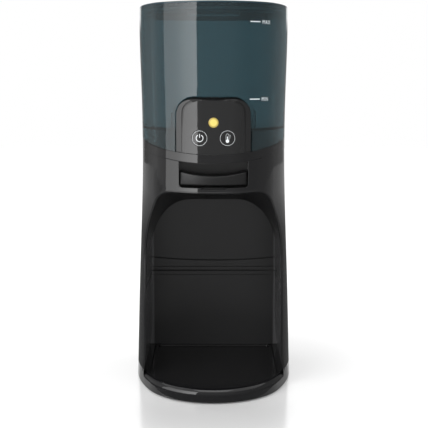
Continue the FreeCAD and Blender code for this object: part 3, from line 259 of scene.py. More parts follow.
class Form:
    """The tower's outside in closed form.

    Plan outline at any height: five tangent arcs a side (nose, side, flank, back corner, back), each a centre
    plus its radius times the outward normal, all multiplied by the half width there over the base half width.
    The half width over the height is the one fifth-degree curve through its six stations."""

    def __init__(self, sizes):
        self.widest_y = (sizes.front_depth - sizes.back_depth) / 2
        self.base = sizes.base_half_width
        widths = (sizes.base_half_width, sizes.lower_half_width, sizes.middle_half_width,
                  sizes.waist_half_width, sizes.shoulder_half_width, sizes.top_half_width)
        self.curve = np.polyfit(STATIONS, widths, len(STATIONS) - 1)
        nose_y = sizes.nose_radius - sizes.front_depth
        side = (self.base ** 2 + nose_y ** 2 - sizes.nose_radius ** 2) / (2 * (self.base - sizes.nose_radius))
        corner = sizes.back_corner_radius
        back_turn = math.asin(sizes.back_arc_half_width / sizes.back_radius)
        corner_x = (sizes.back_radius - corner) * math.sin(back_turn)
        corner_y = sizes.back_depth - sizes.back_radius + (sizes.back_radius - corner) * math.cos(back_turn)
        across = self.base - corner_x - corner
        reach = (corner_y ** 2 + across ** 2) / (2 * across)
        flank = corner + reach
        self.turns = np.array([math.atan2(side - self.base, -nose_y), math.pi / 2,
                               math.pi - math.asin((reach - across) / reach), math.pi - back_turn, math.pi])
        self.centres = np.array([(0.0, nose_y), (self.base - side, 0.0), (self.base - flank, 0.0),
                                 (corner_x, corner_y), (0.0, sizes.back_depth - sizes.back_radius)])
        self.radii = np.array([sizes.nose_radius, side, flank, corner, sizes.back_radius])
        self.seam_centre = sizes.seam_low + sizes.seam_radius
        self.seam_radius = sizes.seam_radius

    def scale(self, z):
        return np.polyval(self.curve, z) / self.base

    def point(self, turn, z, inset=0.0):
        """Point of the outside whose outward normal, seen in plan, is turned by turn from the front.

        It is scale times the arc's centre, plus (scale times its radius, less inset) times that normal."""
        turn, z = np.broadcast_arrays(np.asarray(turn, float), np.asarray(z, float))
        part = np.minimum(np.searchsorted(self.turns, np.abs(turn)), len(self.radii) - 1)
        scale = self.scale(z)
        reach = scale * self.radii[part] - inset
        side = np.where(turn < 0, -1.0, 1.0)
        x = side * scale * self.centres[part, 0] + reach * np.sin(turn)
        y = self.widest_y + scale * self.centres[part, 1] - reach * np.cos(turn)
        return np.stack([x, y, z], axis=-1)

    def turn_along(self, distance, z):
        """Turn at which the nose arc has run a distance from the middle."""
        return np.asarray(distance) / (self.scale(z) * self.radii[0])

    def turn_across(self, x, z, inset=0.0):
        """Turn at a place seen from the front: on the nose arc, or past its end on the side arc."""
        x, z = np.broadcast_arrays(np.asarray(x, float), np.asarray(z, float))
        scale = self.scale(z)
        nose = np.arcsin(np.clip(np.abs(x) / (scale * self.radii[0] - inset), 0.0, 1.0))
        past = (np.abs(x) - scale * self.centres[1, 0]) / (scale * self.radii[1] - inset)
        return np.sign(x) * np.where(nose < self.turns[0], nose, np.arcsin(np.clip(past, 0.0, 1.0)))

    def front(self, x, z, inset=0.0):
        """Point of the front at a place seen from the front."""
        return self.point(self.turn_across(x, z, inset), z, inset)


def form():
    """The tower with the sizes in the panel."""
    return Form(bpy.context.scene.warmer_form)


def grid_faces(rows, columns, closed=False):
    """Quads of a grid of rows by columns points; closed joins the last column to the first."""
    index = np.arange(rows * columns).reshape(rows, columns)
    if closed:
        index = np.concatenate([index, index[:, :1]], axis=1)
    return np.stack([index[:-1, :-1], index[:-1, 1:], index[1:, 1:], index[1:, :-1]], axis=-1).reshape(-1, 4)


def new_mesh(name, points, faces):
    """A mesh from arrays of points and faces."""
    mesh = bpy.data.meshes.new(name)
    mesh.from_pydata(np.asarray(points).reshape(-1, 3).tolist(), [], [list(face) for face in faces])
    return mesh


def mesh_piece(name, points, faces, slot, body, finish=None):
    """A mesh object from arrays, on the body that it rides on, with the finish given or else its slot's
    finish.

    Edges sharper than SHARP_EDGE stay crisp, and the rest are shaded smooth."""
    mesh = new_mesh(name, points, faces)
    mesh.polygons.foreach_set("use_smooth", np.ones(len(mesh.polygons), bool))
    mesh.set_sharp_from_angle(angle=SHARP_EDGE)
    mesh.update()
    return place_piece(name, mesh, slot, body, finish)


def faces_outwards(points, faces):
    """The faces of a closed surface, turned so that the volume they enclose counts as positive."""
    points = np.asarray(points).reshape(-1, 3)
    volume = sum(np.dot(points[face[0]], np.cross(points[face[i]], points[face[i + 1]]))
                 for face in faces for i in range(1, len(face) - 1))
    return [list(face) if volume > 0 else list(face)[::-1] for face in faces]


def closed_faces(rows):
    """Faces of a closed surface on a grid: its columns join up, and its first and last rows are filled."""
    count, columns = rows.shape[:2]
    faces = grid_faces(count, columns, closed=True).tolist()
    faces.append(list(range(columns))[::-1])
    faces.append(list(range((count - 1) * columns, count * columns)))
    return faces_outwards(rows, faces)


def closed_piece(name, rows, slot, body):
    """A closed surface from a grid of rows by columns."""
    return mesh_piece(name, rows, closed_faces(rows), slot, body)


def new_object(name, mesh, material):
    """An object of a mesh with one material, in the scene."""
    mesh.materials.append(material)
    made = bpy.data.objects.new(name, mesh)
    bpy.context.scene.collection.objects.link(made)
    return made


def place_piece(name, mesh, slot, body, finish=None):
    """Puts a mesh in the scene on its body, with the finish given or else its slot's finish."""
    mesh.materials.clear()
    piece = new_object(name, mesh, FINISHES[finish or slot])
    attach(piece, body)
    return piece


def feed(tree, socket, value):
    """Gives a socket its value, or a link from the output of another node."""
    if isinstance(value, bpy.types.NodeSocket):
        tree.links.new(value, socket)
    else:
        socket.default_value = value


def feed_all(tree, node, sockets):
    """Feeds sockets by name, with or without underscores, or by number."""
    for socket, value in sockets.items():
        feed(tree, node.inputs[socket if isinstance(socket, int) else socket.replace("_", " ")], value)


def shader_node(tree, kind, sockets=None, **settings):
    """A node with its settings, whose sockets get values or links."""
    made = tree.nodes.new("ShaderNode" + kind)
    for name, value in settings.items():
        setattr(made, name, value)
    feed_all(tree, made, sockets or {})
    return made


def math_node(tree, operation, first, second):
    """One step of arithmetic on two sockets or numbers."""
    return shader_node(tree, "Math", {0: first, 1: second}, operation=operation).outputs[0]


def ramp(tree, value, start, end, low=0.0, high=1.0, kind="LINEAR"):
    """Goes from low to high as the value goes from start to end."""
    sockets = {"Value": value, "From Min": start, "From Max": end, "To Min": low, "To Max": high}
    return shader_node(tree, "MapRange", sockets, interpolation_type=kind).outputs[0]


def mixed(tree, factor, first, second):
    """The first colour where the factor is 0, and the second where it is 1."""
    sockets = {"Factor": factor, "A": first, "B": second}
    return shader_node(tree, "Mix", sockets, data_type="RGBA").outputs["Result"]


def scaled(tree, tone, factor):
    """A colour times a factor."""
    return shader_node(tree, "VectorMath", {0: tone, "Scale": factor}, operation="SCALE").outputs[0]


def vector_math(tree, operation, first, second=(0.0, 0.0, 0.0)):
    """A vector node; its outputs are a vector and a value."""
    return shader_node(tree, "VectorMath", {0: first, 1: second}, operation=operation)


def axis_of(tree, place, axis):
    """One coordinate of a place."""
    return shader_node(tree, "SeparateXYZ", {0: place}).outputs[axis]


def object_place(tree):
    """Object coordinates, which keep to the piece when it moves."""
    return shader_node(tree, "TexCoord").outputs["Object"]


def noise_node(tree, scale, detail, stretch=(1, 1, 1)):
    """Noise on Object coordinates."""
    place = shader_node(tree, "Mapping", {"Vector": object_place(tree), "Scale": stretch}).outputs["Vector"]
    return shader_node(tree, "TexNoise", {"Vector": place, "Scale": scale, "Detail": detail}).outputs["Fac"]


def surface_group(name, inputs, output):
    """A node group with one output: its tree, its inputs and the socket to feed.

    A socket named Color is a colour, and the others are floats."""
    tree = bpy.data.node_groups.new(name, "ShaderNodeTree")
    kinds = {socket: "NodeSocketColor" if socket == "Color" else "NodeSocketFloat"
             for socket in (*inputs, output)}
    for socket, value in inputs.items():
        tree.interface.new_socket(socket, in_out="INPUT", socket_type=kinds[socket]).default_value = value
    tree.interface.new_socket(output, in_out="OUTPUT", socket_type=kinds[output])
    return tree, tree.nodes.new("NodeGroupInput").outputs, tree.nodes.new("NodeGroupOutput").inputs[output]


def moulded_relief():
    """Height of a moulded face: a slow waviness and a fine grain, each with its own depth."""
    tree, given, height = surface_group(
        "moulded relief", {"Wave Scale": 18.0, "Wave Depth": 0.2, "Grain Scale": 1500.0, "Grain Depth": 0.0},
        "Height")
    wave = math_node(tree, "MULTIPLY", noise_node(tree, given["Wave Scale"], 1.0), given["Wave Depth"])
    grain = math_node(tree, "MULTIPLY", noise_node(tree, given["Grain Scale"], 3.0), given["Grain Depth"])
    feed(tree, height, math_node(tree, "ADD", wave, grain))
    return tree


def handled_roughness():
    """Roughness of a handled face: the clean value, raised in soft patches of haze."""
    tree, given, roughness = surface_group(
        "handled roughness", {"Clean": 0.05, "Haze": 0.05, "Patch Scale": 25.0}, "Roughness")
    patches = ramp(tree, noise_node(tree, given["Patch Scale"], 4.0), HAZE_START, HAZE_END)
    haze = math_node(tree, "MULTIPLY", patches, given["Haze"])
    feed(tree, roughness, math_node(tree, "ADD", given["Clean"], haze))
    return tree


def drifting_tone():
    """Base colour with a slow, slight drift in brightness, and painted light on the bay's side walls: their
    colour is brightened to stand in for the light they catch.
    """
    tree, given, tone = surface_group(
        "drifting tone", {"Color": (0.5, 0.5, 0.5, 1.0), "Drift": 0.1, "Drift Scale": 9.0, "Side Gain": 0.0},
        "Color")
    drift = math_node(tree, "SUBTRACT", noise_node(tree, given["Drift Scale"], 2.0), 0.5)
    factor = math_node(tree, "ADD", math_node(tree, "MULTIPLY", drift, given["Drift"]), 1.0)
    across = math_node(tree, "ABSOLUTE", axis_of(tree, object_place(tree), "X"), 0.0)
    side = ramp(tree, across, PAINTED_LIGHT_START, PAINTED_LIGHT_END)
    painted_side_light = math_node(tree, "MULTIPLY", side, given["Side Gain"])
    feed(tree, tone, scaled(tree, given["Color"], math_node(tree, "ADD", factor, painted_side_light)))
    return tree


def round_fade():
    """Mask round the indicator's axis: 1 in the middle, 0 at its rim."""
    tree, given, mask = surface_group("round fade", {"Inner": 0.0022, "Outer": 0.0042}, "Mask")
    apart = vector_math(tree, "SUBTRACT", object_place(tree), (0.0, 0.0, LENS_HEIGHT)).outputs[0]
    flat = vector_math(tree, "MULTIPLY", apart, (1.0, 0.0, 1.0)).outputs[0]
    far = vector_math(tree, "LENGTH", flat).outputs["Value"]
    feed(tree, mask, ramp(tree, far, given["Inner"], given["Outer"], 1.0, 0.0, "SMOOTHSTEP"))
    return tree


def drawn_lines():
    """Height of fine drawing lines that run along the piece."""
    tree, given, height = surface_group("drawn lines", {"Line Scale": 900.0, "Line Depth": 0.4}, "Height")
    lines = noise_node(tree, given["Line Scale"], 2.0, (1.0, 1.0, 0.03))
    feed(tree, height, math_node(tree, "MULTIPLY", lines, given["Line Depth"]))
    return tree


def placed_group(tree, group, **values):
    """The output of a group placed in a material with its own values."""
    return shader_node(tree, "Group", values, node_tree=group).outputs[0]


def blank_finish(name):
    """A new material and its Principled shader."""
    material = bpy.data.materials.new(name)
    material.use_nodes = True
    return material, material.node_tree.nodes["Principled BSDF"]


class Finishes:
    """The materials, each built once from the shared groups and the colours in the panel."""

    def __init__(self, colours):
        self.relief = moulded_relief()
        self.handled = handled_roughness()
        self.tone = drifting_tone()
        self.fade = round_fade()
        self.lines = drawn_lines()
        self.colours = colours
        self.made = {}

    def plain(self, name, base, roughness, haze=0.03, grain=0.0, drift=0.1, edge=0.0, side=0.0, lines=0.0,
              **settings):
        """A dielectric or metal with drifting tone, handled roughness and moulded relief or drawn lines.

        edge is the radius that softens the shading of moulded edges, and side how much painted light
        brightens the bay's side walls. It returns the tree and the shader, for a finish that goes on from
        there."""
        material, shader = blank_finish(name)
        tree = material.node_tree
        height = (placed_group(tree, self.lines, Line_Depth=lines) if lines
                  else placed_group(tree, self.relief, Wave_Depth=WAVE_DEPTH, Grain_Depth=grain))
        sockets = {"Strength": 1.0, "Distance": RELIEF_DISTANCE, "Height": height}
        if edge:
            sockets["Normal"] = shader_node(tree, "Bevel", {"Radius": edge}).outputs["Normal"]
        feeds = {"Base Color": placed_group(tree, self.tone, Color=(*base, 1.0), Drift=drift, Side_Gain=side),
                 "Roughness": placed_group(tree, self.handled, Clean=roughness, Haze=haze),
                 "Normal": shader_node(tree, "Bump", sockets).outputs["Normal"]}
        feed_all(tree, shader, {**feeds, **settings})
        self.made[name] = material
        return tree, shader

    def metal(self, name, base, roughness, depth=0.4):
        """Drawn or rolled metal with fine lines."""
        self.plain(name, base, roughness, haze=0.08, lines=depth, Metallic=1.0)

    def indicator(self, name):
        """Lit dome: pale in the middle, amber and dimmer towards its rim."""
        tree, shader = self.plain(name, self.colours.glow_base, 0.3, haze=0.0, drift=0.0)
        mask = placed_group(tree, self.fade)
        tone = mixed(tree, mask, (*self.colours.glow, 1.0), (*self.colours.glow_core, 1.0))
        feed(tree, shader.inputs["Emission Color"], tone)
        level = math_node(tree, "ADD", math_node(tree, "MULTIPLY", mask, CORE_EXTRA), RIM_STRENGTH)
        feed(tree, shader.inputs["Emission Strength"], level)

    def lid(self, name):
        """Smoky lid; below its plate its colour is painted paler, a painted light that stands in for the
        light coming down through the plate.
        """
        tree, shader = self.plain(name, self.colours.lid, 0.06, haze=0.04, edge=0.0008)
        plate_foot = LID_HIGH.z - LID_PLATE
        height = axis_of(tree, object_place(tree), "Z")
        tone = shader.inputs["Base Color"].links[0].from_socket
        below = ramp(tree, height, plate_foot, plate_foot - PLUG_FADE)
        feed(tree, shader.inputs["Base Color"], mixed(tree, below, tone, (*self.colours.lid_plug_painted_light, 1.0)))

    def smoke(self, name):
        """Smoky glass of the tank; its colour is painted darker where the wall is seen edge on, a painted
        shade that stands in for the longer path through a thick wall.
        """
        tree, shader = self.plain(name, self.colours.tank, 0.02, haze=0.02, drift=0.0,
                                  Transmission_Weight=0.93, IOR=1.5)
        facing = shader_node(tree, "LayerWeight", {"Blend": SLANT_BLEND}).outputs["Facing"]
        tone = shader.inputs["Base Color"].links[0].from_socket
        painted_edge_shade = ramp(tree, facing, 0.0, 1.0, 1.0, PAINTED_EDGE_SHADE)
        feed(tree, shader.inputs["Base Color"], scaled(tree, tone, painted_edge_shade))

    def build(self):
        """Every slot of the record gets its finish."""
        shades = self.colours
        self.plain("gloss_black", shades.body, 0.035, haze=0.02, edge=0.0006)
        # side=3.0 is painted light: the bay's side walls come out about four times as bright as the rest of
        # the lining
        self.plain("satin_black", shades.satin, 0.16, haze=0.05, grain=0.25, edge=0.0006, side=3.0)
        self.plain("deck_black", shades.body, 0.04, haze=0.03, edge=0.0006)
        self.plain("panel_black", shades.panel, 0.05, haze=0.02, edge=0.0005)
        self.plain("key_black", shades.panel, 0.06, haze=0.02)
        self.plain("lever_black", shades.lever, 0.4, haze=0.05, edge=0.0005, Specular_IOR_Level=0.38)
        self.lid("lid_black")
        self.plain("tray_black", shades.lever, 0.06, haze=0.05, edge=0.0005)
        # Near-black matte of the dark lines: joints, and painted shade along the edges of the bay's raised
        # band
        self.plain("groove_black", (0.0015, 0.0015, 0.0015), 0.7, haze=0.0)
        self.indicator("indicator_amber")
        self.smoke("tank_smoke")
        # The prints glow a little (Emission Strength 0.1): painted light that makes them brighter than their
        # lighting alone
        self.plain("print_white", shades.printing, 0.35, haze=0.05,
                   Emission_Color=(*shades.printing, 1.0), Emission_Strength=0.1)
        self.plain("valve_white", (0.72, 0.72, 0.7), 0.3, grain=0.2)
        self.plain("seal_silicone", (0.5, 0.51, 0.5), 0.45, grain=0.1, Subsurface_Weight=0.15)
        self.plain("foot_rubber", (0.025, 0.025, 0.025), 0.6, haze=0.1, grain=0.5)
        self.metal("steel", (0.62, 0.62, 0.6), 0.22)
        self.metal("spring_steel", (0.5, 0.5, 0.48), 0.28)
        self.metal("screw_steel", (0.4, 0.4, 0.41), 0.3, depth=0.2)
        self.metal("heater_aluminium", (0.7, 0.7, 0.71), 0.35, depth=0.2)
        self.plain("board_green", (0.02, 0.13, 0.05), 0.35, drift=0.3)
        self.plain("component_dark", (0.03, 0.03, 0.034), 0.4, grain=0.3)
        self.plain("transformer_yellow", (0.5, 0.38, 0.05), 0.4, drift=0.2)
        self.plain("led_amber", (0.95, 0.75, 0.2), 0.1, Transmission_Weight=0.8)
        return self.made


class WARMER_OT_finishes(bpy.types.Operator):
    """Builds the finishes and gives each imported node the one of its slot"""
    bl_idname = "warmer.finishes"
    bl_label = "Finishes"

    def execute(self, context):
        FINISHES.update(Finishes(context.scene.warmer_colours).build())
        for subpart in frame["record"]["subparts"]:
            mesh = NODES[subpart["node"]].data
            mesh.materials.clear()
            mesh.materials.append(FINISHES[subpart["material_slot"]])
        return {"FINISHED"}


def word_mesh(word, height):
    """Flat letters as a mesh, capitals of the given height, starting at x = 0 on the base line."""
    curve = bpy.data.curves.new(word, "FONT")
    curve.body = word
    curve.size = height / CAPITAL_SHARE
    curve.space_character = LETTER_SPACING
    holder = bpy.data.objects.new(word, curve)
    mesh = bpy.data.meshes.new_from_object(holder)
    bpy.data.objects.remove(holder)
    bpy.data.curves.remove(curve)
    return mesh


def wrap_mesh(mesh, start, base, lift):
    """Bends flat letters round the front: x becomes distance along the wall, y becomes height."""
    flat = np.empty(len(mesh.vertices) * 3)
    mesh.vertices.foreach_get("co", flat)
    flat = flat.reshape(-1, 3)
    outside = form()
    heights = base + flat[:, 1]
    points = outside.point(outside.turn_along(start + flat[:, 0], heights), heights, -lift)
    mesh.vertices.foreach_set("co", points.ravel())
    mesh.update()
    return mesh


def arch(half_width, foot, spring, side_radius, corner, top, flare=0.0, flare_height=0.0):
    """Points of an arch seen from the front, from its right foot over the top to the left foot.

    The foot spreads by an arc, the side stands upright to the spring, leans in by an arc of side_radius,
    and a corner arc tangent to it meets the flat top. With no flare, the ten points of each foot fall
    together."""
    low_end = foot + flare_height
    low = np.linspace(foot, low_end, 10)
    spread = (flare_height ** 2 + flare ** 2) / (2 * flare) if flare else 0.0
    low_x = half_width + (spread - np.sqrt(spread ** 2 - (low_end - low) ** 2))
    straight = np.linspace(low_end, spring, 16)[1:]
    lean = math.asin((top - corner - spring) / (side_radius - corner))
    turn = np.linspace(0, lean, 12)[1:]
    bend = np.linspace(lean, math.pi / 2, 14)[1:]
    side_x = half_width - side_radius
    corner_x = side_x + (side_radius - corner) * math.cos(lean)
    crown = np.linspace(corner_x, -corner_x, 32)[1:-1]
    right_x = np.concatenate([low_x, np.full_like(straight, half_width), side_x + side_radius * np.cos(turn),
                              corner_x + corner * np.cos(bend)])
    right_z = np.concatenate([low, straight, spring + side_radius * np.sin(turn),
                              top - corner + corner * np.sin(bend)])
    return np.stack([np.concatenate([right_x, crown, -right_x[::-1]]),
                     np.concatenate([right_z, np.full_like(crown, top), right_z[::-1]])], axis=1)


def unit(vectors):
    """Each vector divided by its length."""
    return vectors / np.linalg.norm(vectors, axis=-1, keepdims=True)


def swept_circle(centres, outward, radius):
    """Tube along a line of centres: radius times a circle in the plane across the line.

    The circle's two directions are the outward one, made square to the line, and their cross product."""
    along = unit(np.gradient(centres, axis=0))
    outward = unit(outward - (outward * along).sum(axis=1, keepdims=True) * along)
    across = np.cross(along, outward)
    turn = np.linspace(0, 2 * math.pi, 14, endpoint=False)[None, :, None]
    return centres[:, None] + radius * (np.cos(turn) * outward[:, None] + np.sin(turn) * across[:, None])


def stroke(path, width):
    """A flat band along a path: each point moved half the width to both sides, across the path.

    Where points of the path fall together it has no direction, and the band has no place there: its points
    come out as not a number."""
    path = np.asarray(path, float)
    along = np.gradient(path, axis=0)
    across = unit(np.stack([-along[:, 1], along[:, 0]], axis=1))
    return np.stack([path - across * width / 2, path + across * width / 2])


def circle(radius, start=0.0, end=2 * math.pi, steps=48, centre=(0.0, 0.0)):
    """Points of an arc about a centre, from one angle to another."""
    turn = np.linspace(start, end, steps + 1)
    return np.stack([centre[0] + radius * np.cos(turn), centre[1] + radius * np.sin(turn)], axis=1)


def line(start, end):
    """Five even points of a straight line."""
    share = np.linspace(0, 1, 5)[:, None]
    return np.asarray(start) + (np.asarray(end) - np.asarray(start)) * share


class WARMER_OT_bay_lip(bpy.types.Operator):
    """Rounds the edge of the bay with a lip that follows its arch over the curved front"""
    bl_idname = "warmer.bay_lip"
    bl_label = "Bay lip"

    def execute(self, context):
        bay = context.scene.warmer_bay
        outside = form()
        grow = bay.lip_radius - bay.lip_stand
        path = arch(bay.half_width + grow, bay.foot, bay.spring, bay.side_radius + grow, bay.corner + grow,
                    bay.top + grow, bay.flare, bay.flare_height)
        turn = outside.turn_across(path[:, 0], path[:, 1], grow)
        centres = outside.point(turn, path[:, 1], grow)
        outward = np.stack([np.sin(turn), -np.cos(turn), np.zeros_like(turn)], axis=1)
        closed_piece("bay_lip", swept_circle(centres, outward, bay.lip_radius), "gloss_black", "housing")
        return {"FINISHED"}


class WARMER_OT_bay_lines(bpy.types.Operator):
    """Draws dark lines in the bay: the lining's joint, a line under it, and painted shade along its raised
    band's two edges
    """
    bl_idname = "warmer.bay_lines"
    bl_label = "Bay lines"

    def execute(self, context):
        bay = context.scene.warmer_bay
        across = np.linspace(-bay.half_width + LINE_GAP, bay.half_width - LINE_GAP, 81)
        wall = np.full_like(across, bay.wall_y - LINE_STAND)
        bow = (bay.half_width ** 2 + bay.bead_sag ** 2) / (2 * bay.bead_sag)
        bead_top = bay.bead_high + bow - np.sqrt(bow ** 2 - across ** 2)
        for name, height, width in (
                # The band's two edge lines are painted shade: flat dark strips where its step shades the wall
                ("bead_top_painted_shade", bead_top + BEAD_TOP_SHADE / 2, BEAD_TOP_SHADE),
                ("bead_foot_painted_shade", np.full_like(across, bay.bead_low - BEAD_FOOT_SHADE / 2), BEAD_FOOT_SHADE),
                ("lining_foot_line", np.full_like(across, bay.seam - LINING_FOOT_DROP), LINING_FOOT_LINE)):
            self.ribbon(name, np.stack([across, wall, height], axis=1), width)
        reach = np.linspace(bay.wall_front, bay.wall_y - LINE_STAND, 24)
        side = np.full_like(reach, bay.half_width - LINE_STAND)
        plan = np.concatenate([np.stack([-side, reach], axis=1), np.stack([across, wall], axis=1),
                               np.stack([side, reach[::-1]], axis=1)])
        self.ribbon("lining_joint_line", np.column_stack([plan, np.full(len(plan), bay.seam)]), JOINT_LINE)
        return {"FINISHED"}

    def ribbon(self, name, path, width):
        """Upright band along a path: the path moved down and up by half its width."""
        step = np.array([0.0, 0.0, width / 2])
        mesh_piece(name, np.stack([path - step, path + step]), grid_faces(2, len(path)), "satin_black",
                   "housing", "groove_black")


def outside_y(x, z):
    """Y of the form's front at a place seen from the front."""
    return float(form().front(x, z)[1])


def turned_front(centre_x, centre_z, rows, back_y):
    """Round piece set in the front: rows of (radius, depth under the form) turned about an axis along Y.

    The last two rows lie in the plane of its back instead."""
    radius, depth = np.array(rows).T
    turn = np.linspace(0, 2 * math.pi, 64, endpoint=False)
    x = centre_x + radius[:, None] * np.cos(turn)
    z = centre_z + radius[:, None] * np.sin(turn)
    points = form().front(x, z, np.broadcast_to(depth[:, None], x.shape))
    points[-2:, :, 1] = back_y
    return points


class WARMER_OT_keys(bpy.types.Operator):
    """Caps of the two keys, with a rounded edge, a flange and a stem"""
    bl_idname = "warmer.keys"
    bl_label = "Keys"

    def execute(self, context):
        sizes = context.scene.warmer_controls
        radius, rim, sink = sizes.key_radius, sizes.key_round, sizes.key_sink
        bend = np.linspace(0, math.pi / 2, 6)
        for name, node, body in (("power_cap", "power_button", "power_key"),
                                 ("temperature_cap", "temperature_button", "temperature_key")):
            low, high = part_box(node)
            middle = (low.x + high.x) / 2
            flange = (high.x - low.x) / 2
            stem = high.y - outside_y(middle, BUTTON_HEIGHT)
            rows = [(share * (radius - rim), sink) for share in FACE_SHARES]
            rows += [(radius - rim * (1 - math.sin(turn)), sink + rim * (1 - math.cos(turn)))
                     for turn in bend]
            rows += [(radius, FLANGE_FRONT), (flange, FLANGE_FRONT), (flange, FLANGE_BACK),
                     (STEM_RADIUS, STEM_START), (STEM_RADIUS, stem - CLOSING_STEP), (CLOSING_RADIUS, stem)]
            cap = closed_piece(name, turned_front(middle, BUTTON_HEIGHT, rows, high.y), "key_black", body)
            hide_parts(node)
        return {"FINISHED"}


class WARMER_OT_indicator(bpy.types.Operator):
    """Domed lens of the lit indicator"""
    bl_idname = "warmer.indicator"
    bl_label = "Indicator"

    def execute(self, context):
        """The dome's depth is its sink less crown times one minus the fourth power of the radius's share."""
        sizes = context.scene.warmer_controls
        back = LENS_HIGH.y - outside_y(0.0, LENS_HEIGHT)
        flange = (LENS_HIGH.x - LENS_LOW.x) / 2
        rows = [(share * sizes.lens_radius, LENS_SINK - sizes.lens_crown * (1 - share ** 4))
                for share in np.linspace(MIDDLE_SHARE, 1.0, 14)]
        rows += [(sizes.lens_radius, FLANGE_FRONT), (flange, FLANGE_FRONT), (flange, back - CLOSING_STEP),
                 (CLOSING_RADIUS, back)]
        lens = closed_piece("indicator_dome", turned_front(0.0, LENS_HEIGHT, rows, LENS_HIGH.y),
                            "indicator_amber", "housing")
        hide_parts("indicator_lens")
        return {"FINISHED"}


class WARMER_OT_panel_line(bpy.types.Operator):
    """Dark lines where the panel's flat meets its flank, and along the band under the tank"""
    bl_idname = "warmer.panel_line"
    bl_label = "Panel line"

    def execute(self, context):
        sizes = context.scene.warmer_controls
        outside = form()
        half, corner = sizes.plate_half_width, sizes.plate_corner
        foot = outside.seam_centre - math.sqrt(outside.seam_radius ** 2 - half ** 2) + PANEL_FOOT_GAP
        spring = sizes.plate_top - corner - PANEL_SHOULDER_GAP
        path = arch(half, foot, spring, 2 * corner, corner, sizes.plate_top)
        self.groove(context, "panel_line", path, sizes.line_width)
        for name, reach, drop, width in (
                ("band_top_line", half + BAND_OVERHANG, 0.0, BAND_TOP_LINE),
                ("band_foot_line", sizes.band_reach, sizes.band_height, BAND_FOOT_LINE)):
            across = np.linspace(-reach, reach, 65)
            low = outside.seam_centre - np.sqrt((outside.seam_radius + drop) ** 2 - across ** 2)
            self.groove(context, name, np.stack([across, low + width / 2], axis=1), width)
        return {"FINISHED"}

    def groove(self, context, name, path, width):
        """A stroke along a path seen from the front, laid on the form."""
        band = stroke(path, width)
        points = form().front(band[..., 0], band[..., 1], -context.scene.warmer_prints.print_lift / 2)
        mesh_piece(name, points, grid_faces(2, len(path)), "panel_black", "housing", "groove_black")


class WARMER_OT_lever_skin(bpy.types.Operator):
    """Rounded skin of the lever's paddle"""
    bl_idname = "warmer.lever_skin"
    bl_label = "Lever"

    def execute(self, context):
        """Section loops across the lever: bottom, rounded front, dished top, back; the ends close in."""
        sizes = context.scene.warmer_controls
        half = sizes.lever_half_width + sizes.skin
        bend = np.linspace(0, math.pi / 2, 7)
        end_x = half - sizes.skin_corner * (1 - np.sin(bend))
        across = np.concatenate([-end_x[::-1], np.linspace(-end_x[0], end_x[0], 41)[1:-1], end_x])
        end_in = sizes.skin_corner * (1 - np.cos(bend))
        draw_in = np.concatenate([end_in[::-1], np.zeros(39), end_in])
        draw_z = draw_in * sizes.skin_round / sizes.skin_corner
        dish = (sizes.lever_half_width ** 2 + sizes.lever_rise ** 2) / (2 * sizes.lever_rise)
        low = sizes.lever_low - sizes.skin + draw_z
        high = sizes.lever_high + dish - np.sqrt(dish ** 2 - across ** 2) + sizes.skin - draw_z
        depth = sizes.lever_setback - sizes.skin + draw_in
        rim = sizes.skin_round
        z = np.concatenate([low[:, None] + rim * (1 - np.cos(bend)), ((low + high) / 2)[:, None],
                            high[:, None] - rim * (1 - np.cos(bend[::-1]))], axis=1)
        edge = rim * (1 - np.sin(bend))
        inset = depth[:, None] + np.concatenate([edge, [0.0], edge[::-1]])
        front = form().front(np.broadcast_to(across[:, None], z.shape), z, inset)
        back = np.stack([np.stack([across, np.full_like(across, sizes.lever_back), level], axis=1)
                         for level in (high, low)], axis=1)
        closed_piece("lever_paddle_skin", np.concatenate([front, back], axis=1), "lever_black", "lever")
        return {"FINISHED"}


